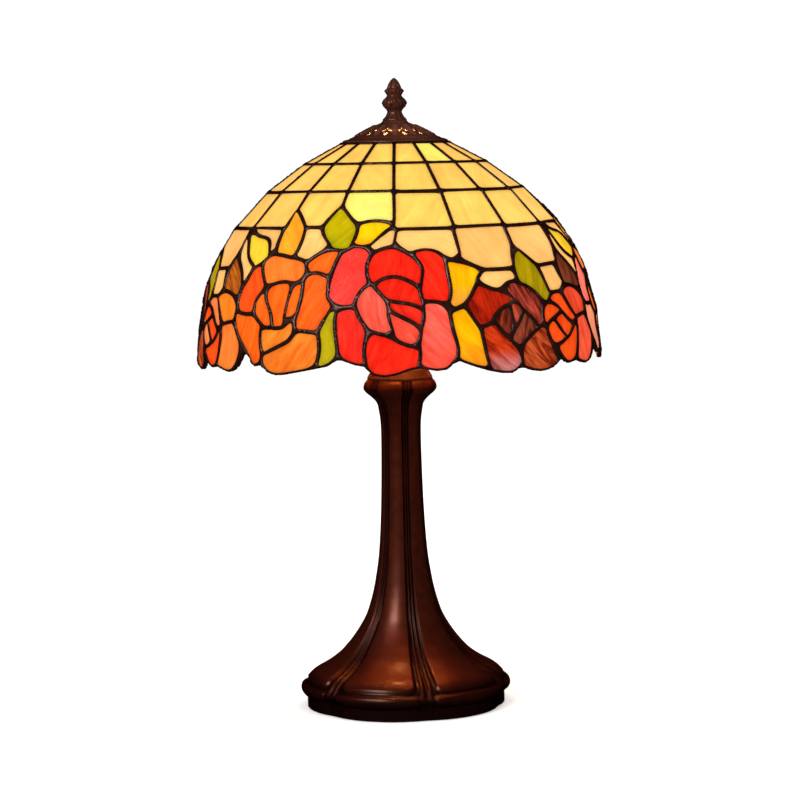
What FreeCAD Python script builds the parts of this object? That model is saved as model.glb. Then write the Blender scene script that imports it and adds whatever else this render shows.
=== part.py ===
"""Stained glass table lamp: cast base, socket and bulb, harp, leaded glass dome shade and finial.

Millimetres, +Z up. The origin is the middle of the base's underside. The front of the lamp faces -Y.
An angle on the shade is in degrees from the front, positive towards +X.
"""
import FreeCAD, Part
import math
import os

V = FreeCAD.Vector
UP = V(0, 0, 1)
ORIGIN = V(0, 0, 0)

# ---- driving dimensions -------------------------------------------------------------------------
BASE_FOOT_R = 75.8
BASE_BOTTOM_Z = 0.5
PLINTH_TOP_Z = 9.0
ROLL_NECK_R = 77.5
ROLL_LOW_Z = 9.8
BASE_ROLL_R = 80.5
BASE_ROLL_Z = 15.0
BASE_COLLAR_R = 28.0
BASE_TOP_R = 25.0
BASE_TOP_Z = 250.0
CAVITY_R = 71.4
CAVITY_CEILING_Z = 80.0
RIB_COUNT = 6
RIB_FIRST_ANGLE = 12.0
RIB_WIDTH_ANGLE = 5.0
RIB_PROUD = 0.7
RIB_ROOT_R = 12.0
GROMMET_Z = 14.5
GROMMET_R = 4.2
GROMMET_FLANGE = 2.0
GROMMET_BORE_R = 2.9
GROMMET_SEAT_Y = 78.6

FELT_T = 2.0
FELT_R = 69.5
WEIGHT_R = 71.1
WEIGHT_T = 6.0

PIPE_R = 5.0
PIPE_HOLE_R = 5.3
PIPE_BORE_R = 3.6
PIPE_TOP_Z = 276.0

SADDLE_Z = 262.3
SADDLE_T = 1.6
HARP_LEG_X = 31.0
HARP_WIRE_R = 2.4
HARP_LEG_Z = 282.3
HARP_TOP_Z = 432.0

SOCKET_R = 17.0
SOCKET_SPLIT_Z = 286.0
SOCKET_TOP_Z = 322.0
SWITCH_Z = 297.0
SWITCH_HOLE_R = 3.0

BULB_BASE_R = 13.0
BULB_R = 24.0
BULB_TOP_Z = 388.0

SHADE_R = 152.7
SHADE_LOW_Z = 231.95
SHADE_RISE = 209.85
SHADE_POWER = 3.149
SHADE_ROOT = 0.798
SHADE_TOP_Z = 428.2
SHADE_HEM_Z = 258.0
GLASS_T = 2.5
GLASS_INSET = 1.4
LEAD_PROUD = 0.6
LEAD_DEEP = 4.7
LEAD_HALF_WIDTH = 1.5

REPEATS = 3
MERIDIANS = 18
MERIDIAN_START = -1.0

CAP_R = 40.0
CAP_TOP_Z = 445.0
CAP_T = 1.5
CAP_REPEATS = 12
# the cap's holes, repeated round it: (distance from the axis, hole radius, angle from the front)
CAP_HOLES = [(26.3, 1.4, 15.0), (20.2, 1.15, 6.5), (20.2, 1.15, 23.5)]
STUD_R = 3.2
STUD_TOP_Z = 457.0
FINIAL_Z = 445.3
FINIAL_TOP_Z = 477.0

# ---- outlines of the base, as (radius, height) -----------------------------------------------------
BASE_WAIST = [(78.0, 20.0), (74.0, 24.7), (69.0, 29.0), (60.0, 34.0), (54.0, 38.0), (49.0, 42.0), (44.4, 47.0),
              (40.2, 52.0), (34.0, 61.0), (29.1, 70.0), (25.7, 80.0), (23.3, 89.0), (21.5, 98.0), (18.8, 116.0),
              (16.8, 144.0), (15.6, 180.0), (15.3, 213.0)]
BASE_URN = [(15.3, 213.0), (16.8, 227.0), (18.2, 232.0), (21.7, 236.0), (26.4, 240.0), (BASE_COLLAR_R, 243.0),
            (27.0, 247.0), (BASE_TOP_R, BASE_TOP_Z)]
BASE_CAVITY = [(CAVITY_R, BASE_BOTTOM_Z), (CAVITY_R, 12.0), (66.0, 22.0), (55.0, 29.5), (44.0, 38.0), (34.0, 51.0),
               (26.0, 64.0), (20.5, CAVITY_CEILING_Z), (0.0, CAVITY_CEILING_Z), (0.0, BASE_BOTTOM_Z)]

# ---- shade layout: one third of the dome, as (angle, height) corners of each pane -----------------
LOWER_ROW = [
    [(-59.2, 392.0), (-42.0, 392.6), (-41.6, 381.0), (-42.6, 369.6), (-59.3, 369.4)],
    [(-39.8, 392.2), (-22.3, 392.6), (-22.2, 384.6), (-24.5, 379.5), (-26.3, 373.5), (-27.1, 370.4),
     (-32.6, 370.4), (-34.5, 373.9), (-36.8, 378.0), (-39.8, 381.7)],
    [(-19.9, 392.0), (-2.5, 392.2), (-2.0, 382.0), (-1.9, 372.6), (-4.2, 373.7), (-7.6, 374.5),
     (-10.9, 374.1), (-13.4, 373.2), (-15.6, 376.2), (-17.5, 379.8), (-20.1, 384.5)],
    [(0.4, 391.0), (18.3, 390.6), (18.9, 368.8), (0.1, 368.6)],
    [(20.5, 391.2), (38.7, 391.5), (38.8, 369.3), (20.5, 369.2)],
    [(40.9, 391.0), (58.5, 391.2), (58.8, 369.4), (40.7, 369.0)],
]
CREAM_FILL = [
    [(-8.3, 355.0), (-6.4, 359.2), (-4.2, 363.0), (-2.0, 365.8), (-0.7, 365.6), (-1.0, 361.0),
     (-1.6, 356.9), (-3.9, 355.7), (-6.9, 353.1)],
    [(0.2, 364.8), (18.1, 364.5), (18.4, 357.7), (18.8, 349.0), (16.6, 346.6), (14.9, 348.6),
     (12.9, 352.4), (10.4, 353.9), (8.0, 354.0), (5.4, 352.6), (3.8, 352.0), (1.9, 354.8), (-0.4, 358.2)],
    [(20.4, 365.4), (38.5, 366.2), (38.5, 359.0), (38.0, 353.6), (36.9, 348.6), (36.2, 343.2),
     (36.0, 339.4), (31.2, 338.9), (27.0, 338.9), (24.6, 341.2), (22.1, 344.0), (20.1, 346.4)],
    [(25.9, 334.3), (30.7, 334.3), (35.3, 333.8), (35.7, 330.4), (32.6, 329.0), (31.6, 327.4),
     (30.2, 325.2), (28.3, 324.9), (26.6, 327.2), (24.3, 330.3)],
    [(39.7, 364.4), (48.2, 365.0), (57.8, 365.0), (58.2, 357.7), (58.1, 351.6), (57.1, 346.2),
     (56.2, 341.2), (52.5, 341.0), (48.0, 339.4), (46.0, 342.2), (43.8, 346.6), (41.5, 350.6), (40.0, 353.8)],
    [(47.7, 336.0), (54.2, 336.2), (54.8, 331.0), (56.0, 325.2), (54.8, 322.6), (53.4, 320.6),
     (49.2, 320.2), (48.6, 326.5)],
    [(-31.9, 366.6), (-27.1, 366.5), (-25.6, 362.8), (-22.8, 356.6), (-24.2, 354.4), (-26.1, 351.6),
     (-27.8, 348.6), (-29.0, 347.2), (-32.4, 349.3), (-32.1, 355.0), (-31.8, 360.5)],
    [(-56.5, 366.3), (-44.2, 366.6), (-43.7, 362.7), (-43.2, 357.7), (-42.6, 353.4), (-43.4, 352.0),
     (-44.2, 354.7), (-45.5, 359.0), (-47.1, 361.9), (-49.5, 363.3), (-53.0, 364.3)],
    [(-59.3, 358.6), (-58.1, 356.2), (-56.7, 351.4), (-55.2, 347.3), (-53.7, 344.4), (-51.7, 341.8),
     (-50.2, 340.2), (-50.9, 335.0), (-51.6, 330.6), (-52.3, 331.2), (-53.0, 334.8), (-54.6, 339.8),
     (-56.5, 343.9), (-58.0, 346.6), (-59.2, 351.0)],
]
RED_ROSE = [
    [(-16.9, 349.3), (-14.5, 352.5), (-12.3, 353.2), (-10.1, 351.6), (-8.9, 349.0), (-9.9, 344.1),
     (-10.1, 336.8), (-9.2, 329.6), (-11.3, 324.5), (-13.0, 315.6), (-16.7, 315.0), (-19.8, 320.3),
     (-19.0, 332.3), (-18.2, 342.3)],
    [(-8.6, 340.5), (-7.8, 346.2), (-6.2, 350.2), (-3.9, 352.2), (-1.3, 352.2), (1.2, 349.8), (4.5, 345.0),
     (6.9, 338.8), (6.7, 333.0), (6.0, 328.2), (3.0, 332.5), (0.2, 335.2), (-2.5, 335.6), (-4.8, 334.1),
     (-7.1, 330.4), (-8.2, 334.5)],
    [(5.8, 349.4), (8.0, 351.0), (10.5, 350.3), (12.4, 347.7), (13.6, 344.5), (14.0, 337.7), (14.6, 324.1),
     (13.7, 316.6), (10.8, 317.5), (7.3, 318.1), (7.1, 325.9), (7.5, 333.2), (8.1, 338.3), (7.3, 344.8)],
    [(-5.9, 326.9), (-4.9, 329.8), (-2.5, 332.1), (0.2, 332.2), (3.0, 329.2), (4.9, 325.8), (5.8, 319.5),
     (6.3, 313.2), (4.1, 315.4), (1.0, 317.0), (-2.4, 318.3), (-4.1, 321.2)],
    [(-2.4, 315.2), (0.2, 314.4), (4.0, 312.8), (6.2, 309.2), (6.4, 304.1), (5.8, 300.2), (4.4, 303.8),
     (1.9, 307.2), (-0.5, 309.0), (-1.5, 311.3)],
    [(-11.6, 317.5), (-10.7, 321.8), (-9.5, 325.4), (-8.0, 327.0), (-6.2, 323.2), (-4.3, 318.2),
     (-3.6, 313.2), (-3.3, 305.9), (-2.1, 296.6), (-3.9, 295.2), (-6.4, 296.8), (-8.8, 300.7), (-10.6, 306.8)],
    [(-2.4, 308.0), (-0.7, 305.4), (1.6, 301.3), (3.8, 298.9), (5.1, 295.0), (4.7, 290.2), (3.5, 287.4),
     (1.6, 288.6), (0.1, 290.4), (-1.1, 295.5), (-1.9, 301.8)],
    [(-17.0, 308.8), (-14.8, 309.7), (-12.4, 310.3), (-11.3, 304.5), (-9.6, 297.9), (-10.1, 288.6),
     (-10.2, 282.3), (-9.7, 273.8), (-11.7, 274.4), (-14.2, 276.7), (-15.7, 280.2), (-16.5, 286.8),
     (-17.0, 295.0), (-17.2, 303.2)],
    [(-8.8, 282.7), (-8.2, 288.8), (-6.8, 292.6), (-4.8, 291.4), (-1.2, 287.0), (2.2, 283.0), (5.0, 281.1),
     (4.9, 275.9), (4.4, 271.2), (2.2, 269.9), (-0.6, 267.3), (-3.9, 265.6), (-6.4, 266.5), (-8.0, 270.9),
     (-8.8, 276.4)],
    [(7.6, 313.8), (9.4, 314.0), (11.3, 312.8), (12.8, 309.1), (13.7, 304.1), (14.0, 297.7), (14.8, 290.5),
     (15.6, 284.1), (15.4, 278.8), (13.8, 274.0), (12.4, 270.2), (9.9, 269.5), (7.4, 271.0), (6.1, 272.8),
     (6.3, 280.5), (6.6, 289.5), (7.1, 298.6), (7.6, 306.8)],
]
ORANGE_ROSE = [
    [(-45.9, 340.2), (-44.9, 335.9), (-43.0, 327.3), (-44.0, 323.9), (-45.1, 320.0), (-45.4, 315.5),
     (-45.8, 309.7), (-48.0, 308.8), (-50.7, 309.7), (-51.6, 313.4), (-51.8, 318.6), (-51.0, 325.9),
     (-50.1, 331.4), (-48.9, 336.6), (-47.5, 339.2)],
    [(-44.3, 342.3), (-43.6, 345.5), (-42.2, 347.3), (-39.4, 347.7), (-36.4, 346.5), (-33.3, 345.1),
     (-30.6, 344.0), (-29.2, 341.2), (-28.9, 336.6), (-29.9, 333.1), (-32.2, 331.6), (-35.0, 332.4),
     (-37.2, 332.1), (-39.4, 330.9), (-41.6, 330.1), (-43.1, 334.0), (-44.1, 338.4)],
    [(-42.1, 321.4), (-41.5, 317.7), (-39.3, 309.5), (-38.6, 304.5), (-38.2, 300.0), (-39.9, 300.4),
     (-41.9, 302.9), (-43.3, 306.2), (-44.2, 309.7), (-44.6, 315.3), (-43.8, 317.8)],
    [(-39.5, 325.5), (-37.4, 328.0), (-35.0, 329.0), (-33.6, 328.6), (-33.0, 325.5), (-33.3, 318.6),
     (-33.9, 308.6), (-34.2, 299.5), (-36.6, 299.1), (-37.1, 303.6), (-38.0, 309.1), (-40.1, 316.4),
     (-40.4, 321.8)],
    [(-29.2, 328.2), (-29.4, 321.4), (-29.8, 309.7), (-31.3, 307.4), (-32.9, 305.8), (-32.8, 311.8),
     (-32.5, 317.7), (-31.9, 323.0), (-31.0, 326.2)],
    [(-27.5, 342.6), (-25.6, 346.6), (-23.3, 349.3), (-21.1, 350.6), (-18.9, 350.9), (-19.8, 345.5),
     (-21.0, 337.0), (-22.5, 337.9), (-24.4, 339.1), (-26.6, 338.6)],
    [(-27.5, 331.2), (-26.2, 334.3), (-24.4, 335.3), (-21.5, 332.5), (-21.4, 325.9), (-20.9, 319.1),
     (-19.5, 312.6), (-20.4, 307.8), (-23.3, 297.7), (-25.8, 298.2), (-28.6, 298.5), (-28.9, 305.9),
     (-28.5, 313.2), (-27.7, 318.6), (-27.7, 325.5)],
    [(-51.9, 306.0), (-48.9, 304.9), (-45.4, 304.6), (-43.6, 301.6), (-42.3, 298.6), (-42.4, 290.5),
     (-42.0, 284.1), (-41.5, 277.3), (-41.9, 274.2), (-43.5, 272.7), (-44.8, 276.9), (-46.8, 283.6),
     (-49.3, 289.9), (-50.9, 294.3), (-51.7, 300.0)],
    [(-40.8, 295.2), (-37.8, 295.6), (-35.0, 296.1), (-32.6, 297.8), (-31.0, 300.4), (-30.9, 295.5),
     (-31.9, 291.4), (-33.6, 288.9), (-35.8, 285.9), (-39.9, 281.3), (-40.6, 285.0), (-41.0, 290.5)],
    [(-39.5, 277.3), (-36.9, 280.7), (-33.9, 283.9), (-31.4, 286.4), (-30.0, 290.7), (-28.6, 293.6),
     (-26.1, 292.9), (-23.2, 292.2), (-22.9, 285.0), (-23.2, 277.6), (-23.9, 273.6), (-25.8, 271.1),
     (-29.2, 269.3), (-32.2, 267.9), (-35.6, 266.6), (-37.8, 268.4), (-39.1, 271.4), (-39.5, 274.5)],
]
BROWN_ROSE = [
    [(23.7, 324.5), (25.9, 322.2), (29.6, 319.5), (33.3, 315.4), (31.8, 313.0), (29.6, 310.6), (27.6, 307.6),
     (26.2, 303.5), (25.0, 299.5), (22.9, 298.5), (21.1, 306.4), (19.8, 312.0), (21.5, 318.3)],
    [(34.4, 325.6), (36.8, 324.3), (39.0, 322.7), (40.9, 320.9), (42.5, 317.5), (43.7, 313.4), (44.1, 309.7),
     (43.5, 305.0), (43.1, 297.2), (42.3, 296.5), (41.3, 300.4), (39.1, 305.4), (36.9, 311.0), (34.9, 316.3),
     (33.1, 322.1)],
    [(32.0, 309.5), (32.3, 303.2), (32.6, 298.0), (32.0, 294.3), (31.2, 291.2), (30.0, 294.0), (27.8, 301.5),
     (29.3, 305.0), (30.7, 308.0)],
    [(33.7, 311.0), (35.1, 311.4), (36.2, 309.2), (36.1, 305.5), (35.3, 302.0), (34.1, 298.6), (33.8, 303.2)],
    [(37.5, 304.8), (38.9, 301.9), (40.3, 297.7), (41.2, 294.4), (39.0, 290.7), (36.8, 286.9), (34.7, 284.2),
     (32.9, 286.9), (34.1, 291.5), (35.8, 296.6)],
    [(23.8, 295.5), (27.2, 297.0), (28.4, 293.2), (30.8, 285.9), (32.8, 280.5), (33.9, 276.4), (34.6, 272.0),
     (34.0, 269.2), (31.8, 265.4), (29.0, 265.9), (26.3, 267.3), (25.5, 271.8), (24.9, 277.7), (24.4, 285.9)],
    [(41.8, 291.2), (43.6, 292.9), (44.7, 291.8), (45.1, 286.4), (46.0, 279.5), (47.1, 273.6), (48.0, 269.2),
     (46.7, 266.7), (44.0, 265.1), (41.2, 264.9), (38.4, 266.4), (36.2, 268.7), (36.0, 274.1), (36.6, 280.0),
     (37.8, 284.8), (39.7, 288.3)],
]
SMALL_ROSE = [
    [(48.8, 313.2), (50.0, 315.4), (51.6, 316.3), (53.7, 316.1), (55.0, 312.9), (56.3, 307.6), (57.7, 302.6),
     (59.0, 298.9), (57.8, 298.1), (56.2, 299.4), (54.1, 304.4), (52.5, 308.7), (50.8, 311.3)],
    [(55.6, 317.0), (57.1, 318.8), (59.1, 319.7), (61.5, 319.3), (63.7, 316.9), (65.4, 313.8), (66.3, 311.0),
     (66.2, 307.0), (65.9, 303.1), (64.3, 302.6), (62.0, 301.8), (60.8, 301.2), (59.4, 303.4), (58.0, 308.2),
     (56.7, 312.8)],
    [(45.8, 306.2), (47.0, 308.4), (48.7, 308.9), (50.0, 307.5), (51.5, 305.2), (50.0, 303.5), (48.0, 301.2),
     (45.4, 298.0), (45.3, 302.3)],
    [(46.0, 291.2), (46.8, 294.4), (48.2, 297.2), (49.3, 296.2), (50.6, 291.7), (53.0, 285.7), (51.5, 283.6),
     (49.6, 283.0), (48.2, 283.6), (47.0, 286.6)],
    [(49.7, 298.2), (51.2, 300.1), (53.0, 301.2), (54.4, 298.1), (56.0, 294.7), (57.2, 292.9), (56.1, 289.4),
     (55.0, 286.8), (54.2, 286.2), (52.8, 289.2), (51.3, 294.1)],
    [(50.0, 278.2), (52.0, 280.6), (54.5, 283.2), (56.5, 286.6), (58.0, 290.3), (59.2, 292.6), (59.4, 288.6),
     (58.9, 282.2), (58.3, 276.3), (57.4, 271.6), (56.0, 269.8), (54.1, 269.0), (52.6, 271.3), (51.1, 274.9)],
    [(60.9, 296.5), (63.2, 298.2), (65.5, 298.9), (66.8, 295.5), (68.2, 290.5), (69.3, 286.0), (69.5, 281.6),
     (69.0, 276.0), (67.7, 270.8), (65.9, 267.5), (64.0, 266.6), (61.8, 267.3), (59.4, 269.5), (59.9, 274.5),
     (60.6, 283.2), (60.9, 290.9)],
]
GREEN_LEAVES = [
    [(-21.4, 380.8), (-20.3, 379.3), (-17.8, 374.9), (-14.9, 368.8), (-14.5, 365.5), (-14.9, 360.0),
     (-15.8, 354.4), (-18.4, 354.2), (-20.6, 355.4), (-22.5, 359.0), (-24.2, 363.0), (-25.2, 366.9),
     (-24.7, 371.8), (-23.1, 376.6)],
    [(40.7, 348.4), (42.6, 344.6), (44.6, 340.3), (46.1, 336.2), (47.0, 331.6), (47.8, 324.6), (48.2, 317.4),
     (46.4, 313.6), (45.0, 315.9), (43.3, 320.6), (41.8, 323.8), (40.0, 326.2), (38.3, 328.0), (37.9, 334.5),
     (38.2, 340.3), (39.1, 345.2)],
]
AMBER_LEAVES = [
    [(-12.0, 369.3), (-10.0, 371.0), (-7.3, 371.6), (-4.4, 370.8), (-2.3, 368.8), (-4.0, 366.6),
     (-6.5, 361.6), (-8.6, 357.1), (-10.9, 357.0), (-13.4, 357.8), (-12.6, 361.8), (-12.2, 365.9)],
    [(15.3, 342.3), (17.3, 341.1), (19.8, 339.9), (22.3, 337.8), (24.3, 335.4), (22.9, 331.1), (21.5, 325.9),
     (20.2, 319.4), (18.4, 315.6), (15.6, 312.7), (14.9, 314.7), (15.6, 319.5), (15.9, 325.0), (15.5, 333.2)],
    [(15.1, 306.3), (18.2, 308.8), (19.5, 305.0), (20.8, 300.3), (22.1, 295.0), (22.6, 288.6), (23.1, 280.5),
     (23.8, 270.2), (22.0, 271.1), (19.8, 272.6), (16.8, 276.3), (16.6, 283.2), (16.1, 289.5), (15.4, 296.8)],
]
YELLOW_LEAVES = [
    [(-57.6, 361.8), (-56.0, 361.3), (-54.0, 360.2), (-51.5, 359.8), (-49.0, 359.4), (-47.2, 357.3),
     (-45.8, 353.2), (-44.8, 348.4), (-46.4, 345.5), (-48.9, 341.8), (-50.7, 344.0), (-52.7, 346.5),
     (-54.4, 350.0), (-56.1, 355.3)],
]
ORANGE_LEAVES = [
    [(-40.6, 379.2), (-38.6, 376.6), (-36.3, 372.8), (-34.6, 369.5), (-33.7, 365.5), (-33.3, 359.5),
     (-33.6, 353.6), (-34.3, 349.3), (-36.4, 350.1), (-40.4, 351.6), (-41.2, 355.9), (-41.4, 362.3),
     (-41.1, 371.4)],
]
BROWN_LEAVES = [
    [(-60.9, 345.2), (-59.1, 342.0), (-56.8, 337.6), (-54.9, 333.2), (-53.2, 326.8), (-53.7, 321.5),
     (-55.5, 322.2), (-57.5, 323.6), (-59.8, 325.0), (-62.0, 325.4), (-62.4, 331.4), (-62.1, 339.0)],
]
OLIVE_LEAVES = [
    [(-17.8, 310.0), (-19.1, 309.4), (-20.4, 304.1), (-21.7, 295.5), (-21.2, 289.5), (-21.0, 284.1),
     (-21.2, 279.1), (-21.9, 271.9), (-20.0, 273.5), (-18.6, 277.0), (-17.7, 280.8), (-17.7, 287.7),
     (-18.2, 295.0), (-18.5, 303.2)],
]
LOWER_PANES = {
    "cream_lower_row": LOWER_ROW,
    "cream_fill_panes": CREAM_FILL,
    "red_rose_petals": RED_ROSE,
    "orange_rose_petals": ORANGE_ROSE,
    "brown_rose_petals": BROWN_ROSE,
    "small_rose_petals": SMALL_ROSE,
    "green_leaves": GREEN_LEAVES,
    "amber_leaves": AMBER_LEAVES,
    "yellow_leaves": YELLOW_LEAVES,
    "orange_leaves": ORANGE_LEAVES,
    "brown_leaves": BROWN_LEAVES,
    "olive_leaves": OLIVE_LEAVES,
}
PANE_ROWS = {
    "cream_upper_row": (414.4, 427.5),
    "cream_middle_row": (394.8, 412.2),
}
# the scalloped lower edge of the leading, as (angle, height) along one third of the shade
HEM = [
    (-61.5, 267.4), (-58.0, 265.2), (-55.5, 264.2), (-53.0, 265.4), (-51.0, 268.6), (-49.6, 273.0),
    (-48.6, 277.3), (-47.4, 278.4), (-46.0, 276.6), (-44.7, 271.6), (-43.5, 269.8), (-41.4, 270.8),
    (-40.0, 269.0), (-38.3, 265.6), (-36.0, 264.1), (-33.6, 264.4), (-30.6, 265.8), (-26.7, 267.6),
    (-23.1, 269.4), (-20.0, 271.0), (-18.4, 273.6), (-17.2, 275.4), (-15.8, 275.4), (-12.0, 272.0),
    (-9.6, 271.0), (-8.3, 267.6), (-7.0, 264.6), (-3.9, 263.2), (-0.6, 264.8), (2.4, 267.5), (5.2, 269.2),
    (7.4, 268.2), (10.0, 266.9), (12.8, 267.6), (14.6, 271.6), (16.4, 273.4), (19.8, 269.8), (22.3, 267.6),
    (25.0, 265.4), (29.0, 263.2), (32.0, 262.8), (34.4, 266.0), (36.4, 265.8), (39.0, 263.6), (42.0, 262.4),
    (44.6, 262.8), (47.2, 264.6), (49.3, 268.2), (50.8, 270.4), (52.5, 267.6), (54.5, 266.0), (56.8, 266.8),
]


# ---- small helpers --------------------------------------------------------------------------------
def ring_profile(points):
    """A face in the XZ plane from (radius, height) corners."""
    corners = [V(r, 0, z) for r, z in points]
    return Part.Face(Part.makePolygon(corners + corners[:1]))


def turned(points, angle=360.0):
    """A solid of revolution about Z from (radius, height) corners."""
    return ring_profile(points).revolve(ORIGIN, UP, angle)


def tube(outer, inner, low, high):
    """A plain ring about Z."""
    return turned([(inner, low), (outer, low), (outer, high), (inner, high)])


def spline_edge(points):
    """A smooth edge in the XZ plane through (radius, height) points."""
    curve = Part.BSplineCurve()
    curve.interpolate([V(r, 0, z) for r, z in points])
    return curve.toShape()


def line_edges(points):
    """Straight edges in the XZ plane through (radius, height) points."""
    corners = [V(r, 0, z) for r, z in points]
    return [Part.makeLine(a, b) for a, b in zip(corners, corners[1:])]


def turned_edges(edges, angle=360.0):
    """A solid of revolution about Z from a closed loop of edges in the XZ plane."""
    wire = Part.Wire(Part.__sortEdges__(edges))
    return Part.Face(wire).revolve(ORIGIN, UP, angle)


def hexagon(across_flats, bore, low, high):
    """A plain hexagonal nut about Z."""
    corner_r = across_flats / math.sqrt(3)
    corners = [V(corner_r * math.cos(math.radians(60 * i)), corner_r * math.sin(math.radians(60 * i)), low)
               for i in range(6)]
    body = Part.Face(Part.makePolygon(corners + corners[:1])).extrude(UP * (high - low))
    return body.cut(Part.makeCylinder(bore, high - low, V(0, 0, low)))


def rounded_path(points, radii):
    """Straight runs joined by tangent arcs: one radius for each inner point."""
    edges = []
    start = points[0]
    for corner, after, radius in zip(points[1:], points[2:], radii):
        into = (corner - start).normalize()
        out = (after - corner).normalize()
        turn = into.getAngle(out)
        reach = radius * math.tan(turn / 2)
        first = corner - into * reach
        last = corner + out * reach
        middle_way = (out - into).normalize()
        bulge = radius / math.cos(turn / 2) - radius
        edges.append(Part.makeLine(start, first))
        edges.append(Part.Arc(first, corner + middle_way * bulge, last).toShape())
        start = last
    edges.append(Part.makeLine(start, points[-1]))
    return Part.Wire(edges)


# ---- base -----------------------------------------------------------------------------------------
def base_outline(proud):
    """The base's outer face from the plinth to the collar, moved outwards by proud."""
    foot = BASE_FOOT_R + proud
    plinth = [(foot, BASE_BOTTOM_Z), (foot, PLINTH_TOP_Z), (ROLL_NECK_R + proud, ROLL_LOW_Z)]
    roll_low = V(ROLL_NECK_R + proud, 0, ROLL_LOW_Z)
    roll_mid = V(BASE_ROLL_R + proud, 0, BASE_ROLL_Z)
    roll_high = V(BASE_WAIST[0][0] + proud, 0, BASE_WAIST[0][1])
    edges = line_edges(plinth)
    edges.append(Part.Arc(roll_low, roll_mid, roll_high).toShape())
    edges.append(spline_edge([(r + proud, z) for r, z in BASE_WAIST]))
    edges.append(spline_edge([(r + proud, z) for r, z in BASE_URN]))
    return edges


def base_casting():
    """Hollow cast foot, column and urn collar with six raised straps between its lobes."""
    core = [(BASE_TOP_R, BASE_TOP_Z), (PIPE_HOLE_R, BASE_TOP_Z), (PIPE_HOLE_R, BASE_BOTTOM_Z),
            (BASE_FOOT_R, BASE_BOTTOM_Z)]
    body = turned_edges(base_outline(0) + line_edges(core))
    strap_core = [(BASE_TOP_R + RIB_PROUD, BASE_TOP_Z), (RIB_ROOT_R, BASE_TOP_Z), (RIB_ROOT_R, BASE_BOTTOM_Z),
                  (BASE_FOOT_R + RIB_PROUD, BASE_BOTTOM_Z)]
    strap = turned_edges(base_outline(RIB_PROUD) + line_edges(strap_core), RIB_WIDTH_ANGLE)
    straps = []
    for i in range(RIB_COUNT):
        one = strap.copy()
        one.rotate(ORIGIN, UP, RIB_FIRST_ANGLE - 90 - RIB_WIDTH_ANGLE / 2 + 360 / RIB_COUNT * i)
        straps.append(one)
    body = body.fuse(straps)
    body = body.cut([turned(BASE_CAVITY), grommet_hole()])
    return body.removeSplitter()


def rear_cylinder(radius, y_from, y_to, z):
    """A cylinder along +Y behind the middle of the lamp."""
    return Part.makeCylinder(radius, y_to - y_from, V(0, y_from, z), V(0, 1, 0))


def grommet_hole():
    """The cord's way in through the back of the roll, with a flat seat for the grommet's flange."""
    through = rear_cylinder(GROMMET_R, 60, 90, GROMMET_Z)
    seat = rear_cylinder(GROMMET_R + GROMMET_FLANGE + 0.2, GROMMET_SEAT_Y, 90, GROMMET_Z)
    return through.fuse(seat)


def cord_grommet():
    """Rubber bush that lines the cord's way in."""
    sleeve = rear_cylinder(GROMMET_R, 71.9, GROMMET_SEAT_Y, GROMMET_Z)
    flange = rear_cylinder(GROMMET_R + GROMMET_FLANGE, GROMMET_SEAT_Y, 80.4, GROMMET_Z)
    bore = rear_cylinder(GROMMET_BORE_R, 70, 82, GROMMET_Z)
    return sleeve.fuse(flange).cut(bore)


def felt_pad():
    """Felt disc that the lamp stands on."""
    return Part.makeCylinder(FELT_R, FELT_T)


def weight_plate():
    """Steel ballast disc inside the foot."""
    return Part.makeCylinder(WEIGHT_R, WEIGHT_T, V(0, 0, FELT_T))


def lamp_pipe():
    """Threaded pipe that clamps the base, the collar cap, the saddle and the socket together."""
    return tube(PIPE_R, PIPE_BORE_R, 66.0, PIPE_TOP_Z)


def pipe_washer():
    return tube(12.0, PIPE_HOLE_R, CAVITY_CEILING_Z - 2.0, CAVITY_CEILING_Z)


def pipe_nut():
    return hexagon(15.0, PIPE_R, CAVITY_CEILING_Z - 7.0, CAVITY_CEILING_Z - 2.0)


def collar_cap():
    """Spun cap that closes the urn collar under the saddle."""
    return turned([(24.8, 250.0), (24.8, 251.2), (21.5, 256.8), (15.0, 260.4), (9.5, 262.3), (PIPE_HOLE_R, 262.3),
                   (PIPE_HOLE_R, 260.6), (9.0, 260.6), (14.2, 258.9), (20.2, 255.6), (23.2, 250.0)])


# ---- harp, saddle and socket ------------------------------------------------------------------------
def harp_saddle():
    """Steel strip with two upright posts for the harp's legs."""
    strip = Part.makeBox(2 * HARP_LEG_X, 13, SADDLE_T, V(-HARP_LEG_X, -6.5, SADDLE_Z))
    strip = strip.cut(Part.makeCylinder(PIPE_HOLE_R, 10, V(0, 0, SADDLE_Z - 3)))
    posts = []
    for side in (-1, 1):
        foot = Part.makeCylinder(6.5, SADDLE_T, V(side * HARP_LEG_X, 0, SADDLE_Z))
        post = Part.makeCylinder(HARP_WIRE_R, HARP_LEG_Z - 0.3 - SADDLE_Z, V(side * HARP_LEG_X, 0, SADDLE_Z))
        posts += [foot, post]
    return strip.fuse(posts).removeSplitter()


def saddle_nut():
    return hexagon(14.0, PIPE_R, SADDLE_Z + SADDLE_T, SADDLE_Z + SADDLE_T + 3.6)


def harp_ferrule(side):
    """Sleeve that slides down over the joint between a harp leg and its saddle post."""
    ring = tube(HARP_WIRE_R + 1.2, HARP_WIRE_R + 0.08, 274.0, 289.0)
    ring.translate(V(side * HARP_LEG_X, 0, 0))
    return ring


def harp_centre_line():
    """The harp's path from one leg, over the bulb, to the other leg."""
    right = [(HARP_LEG_X, HARP_LEG_Z), (HARP_LEG_X, 312), (50, 340), (52, 385), (39, 414), (17, HARP_TOP_Z)]
    points = [V(x, 0, z) for x, z in right] + [V(-x, 0, z) for x, z in reversed(right)]
    bends = [22, 34, 60, 40, 18]
    return rounded_path(points, bends + bends[::-1])


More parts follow.
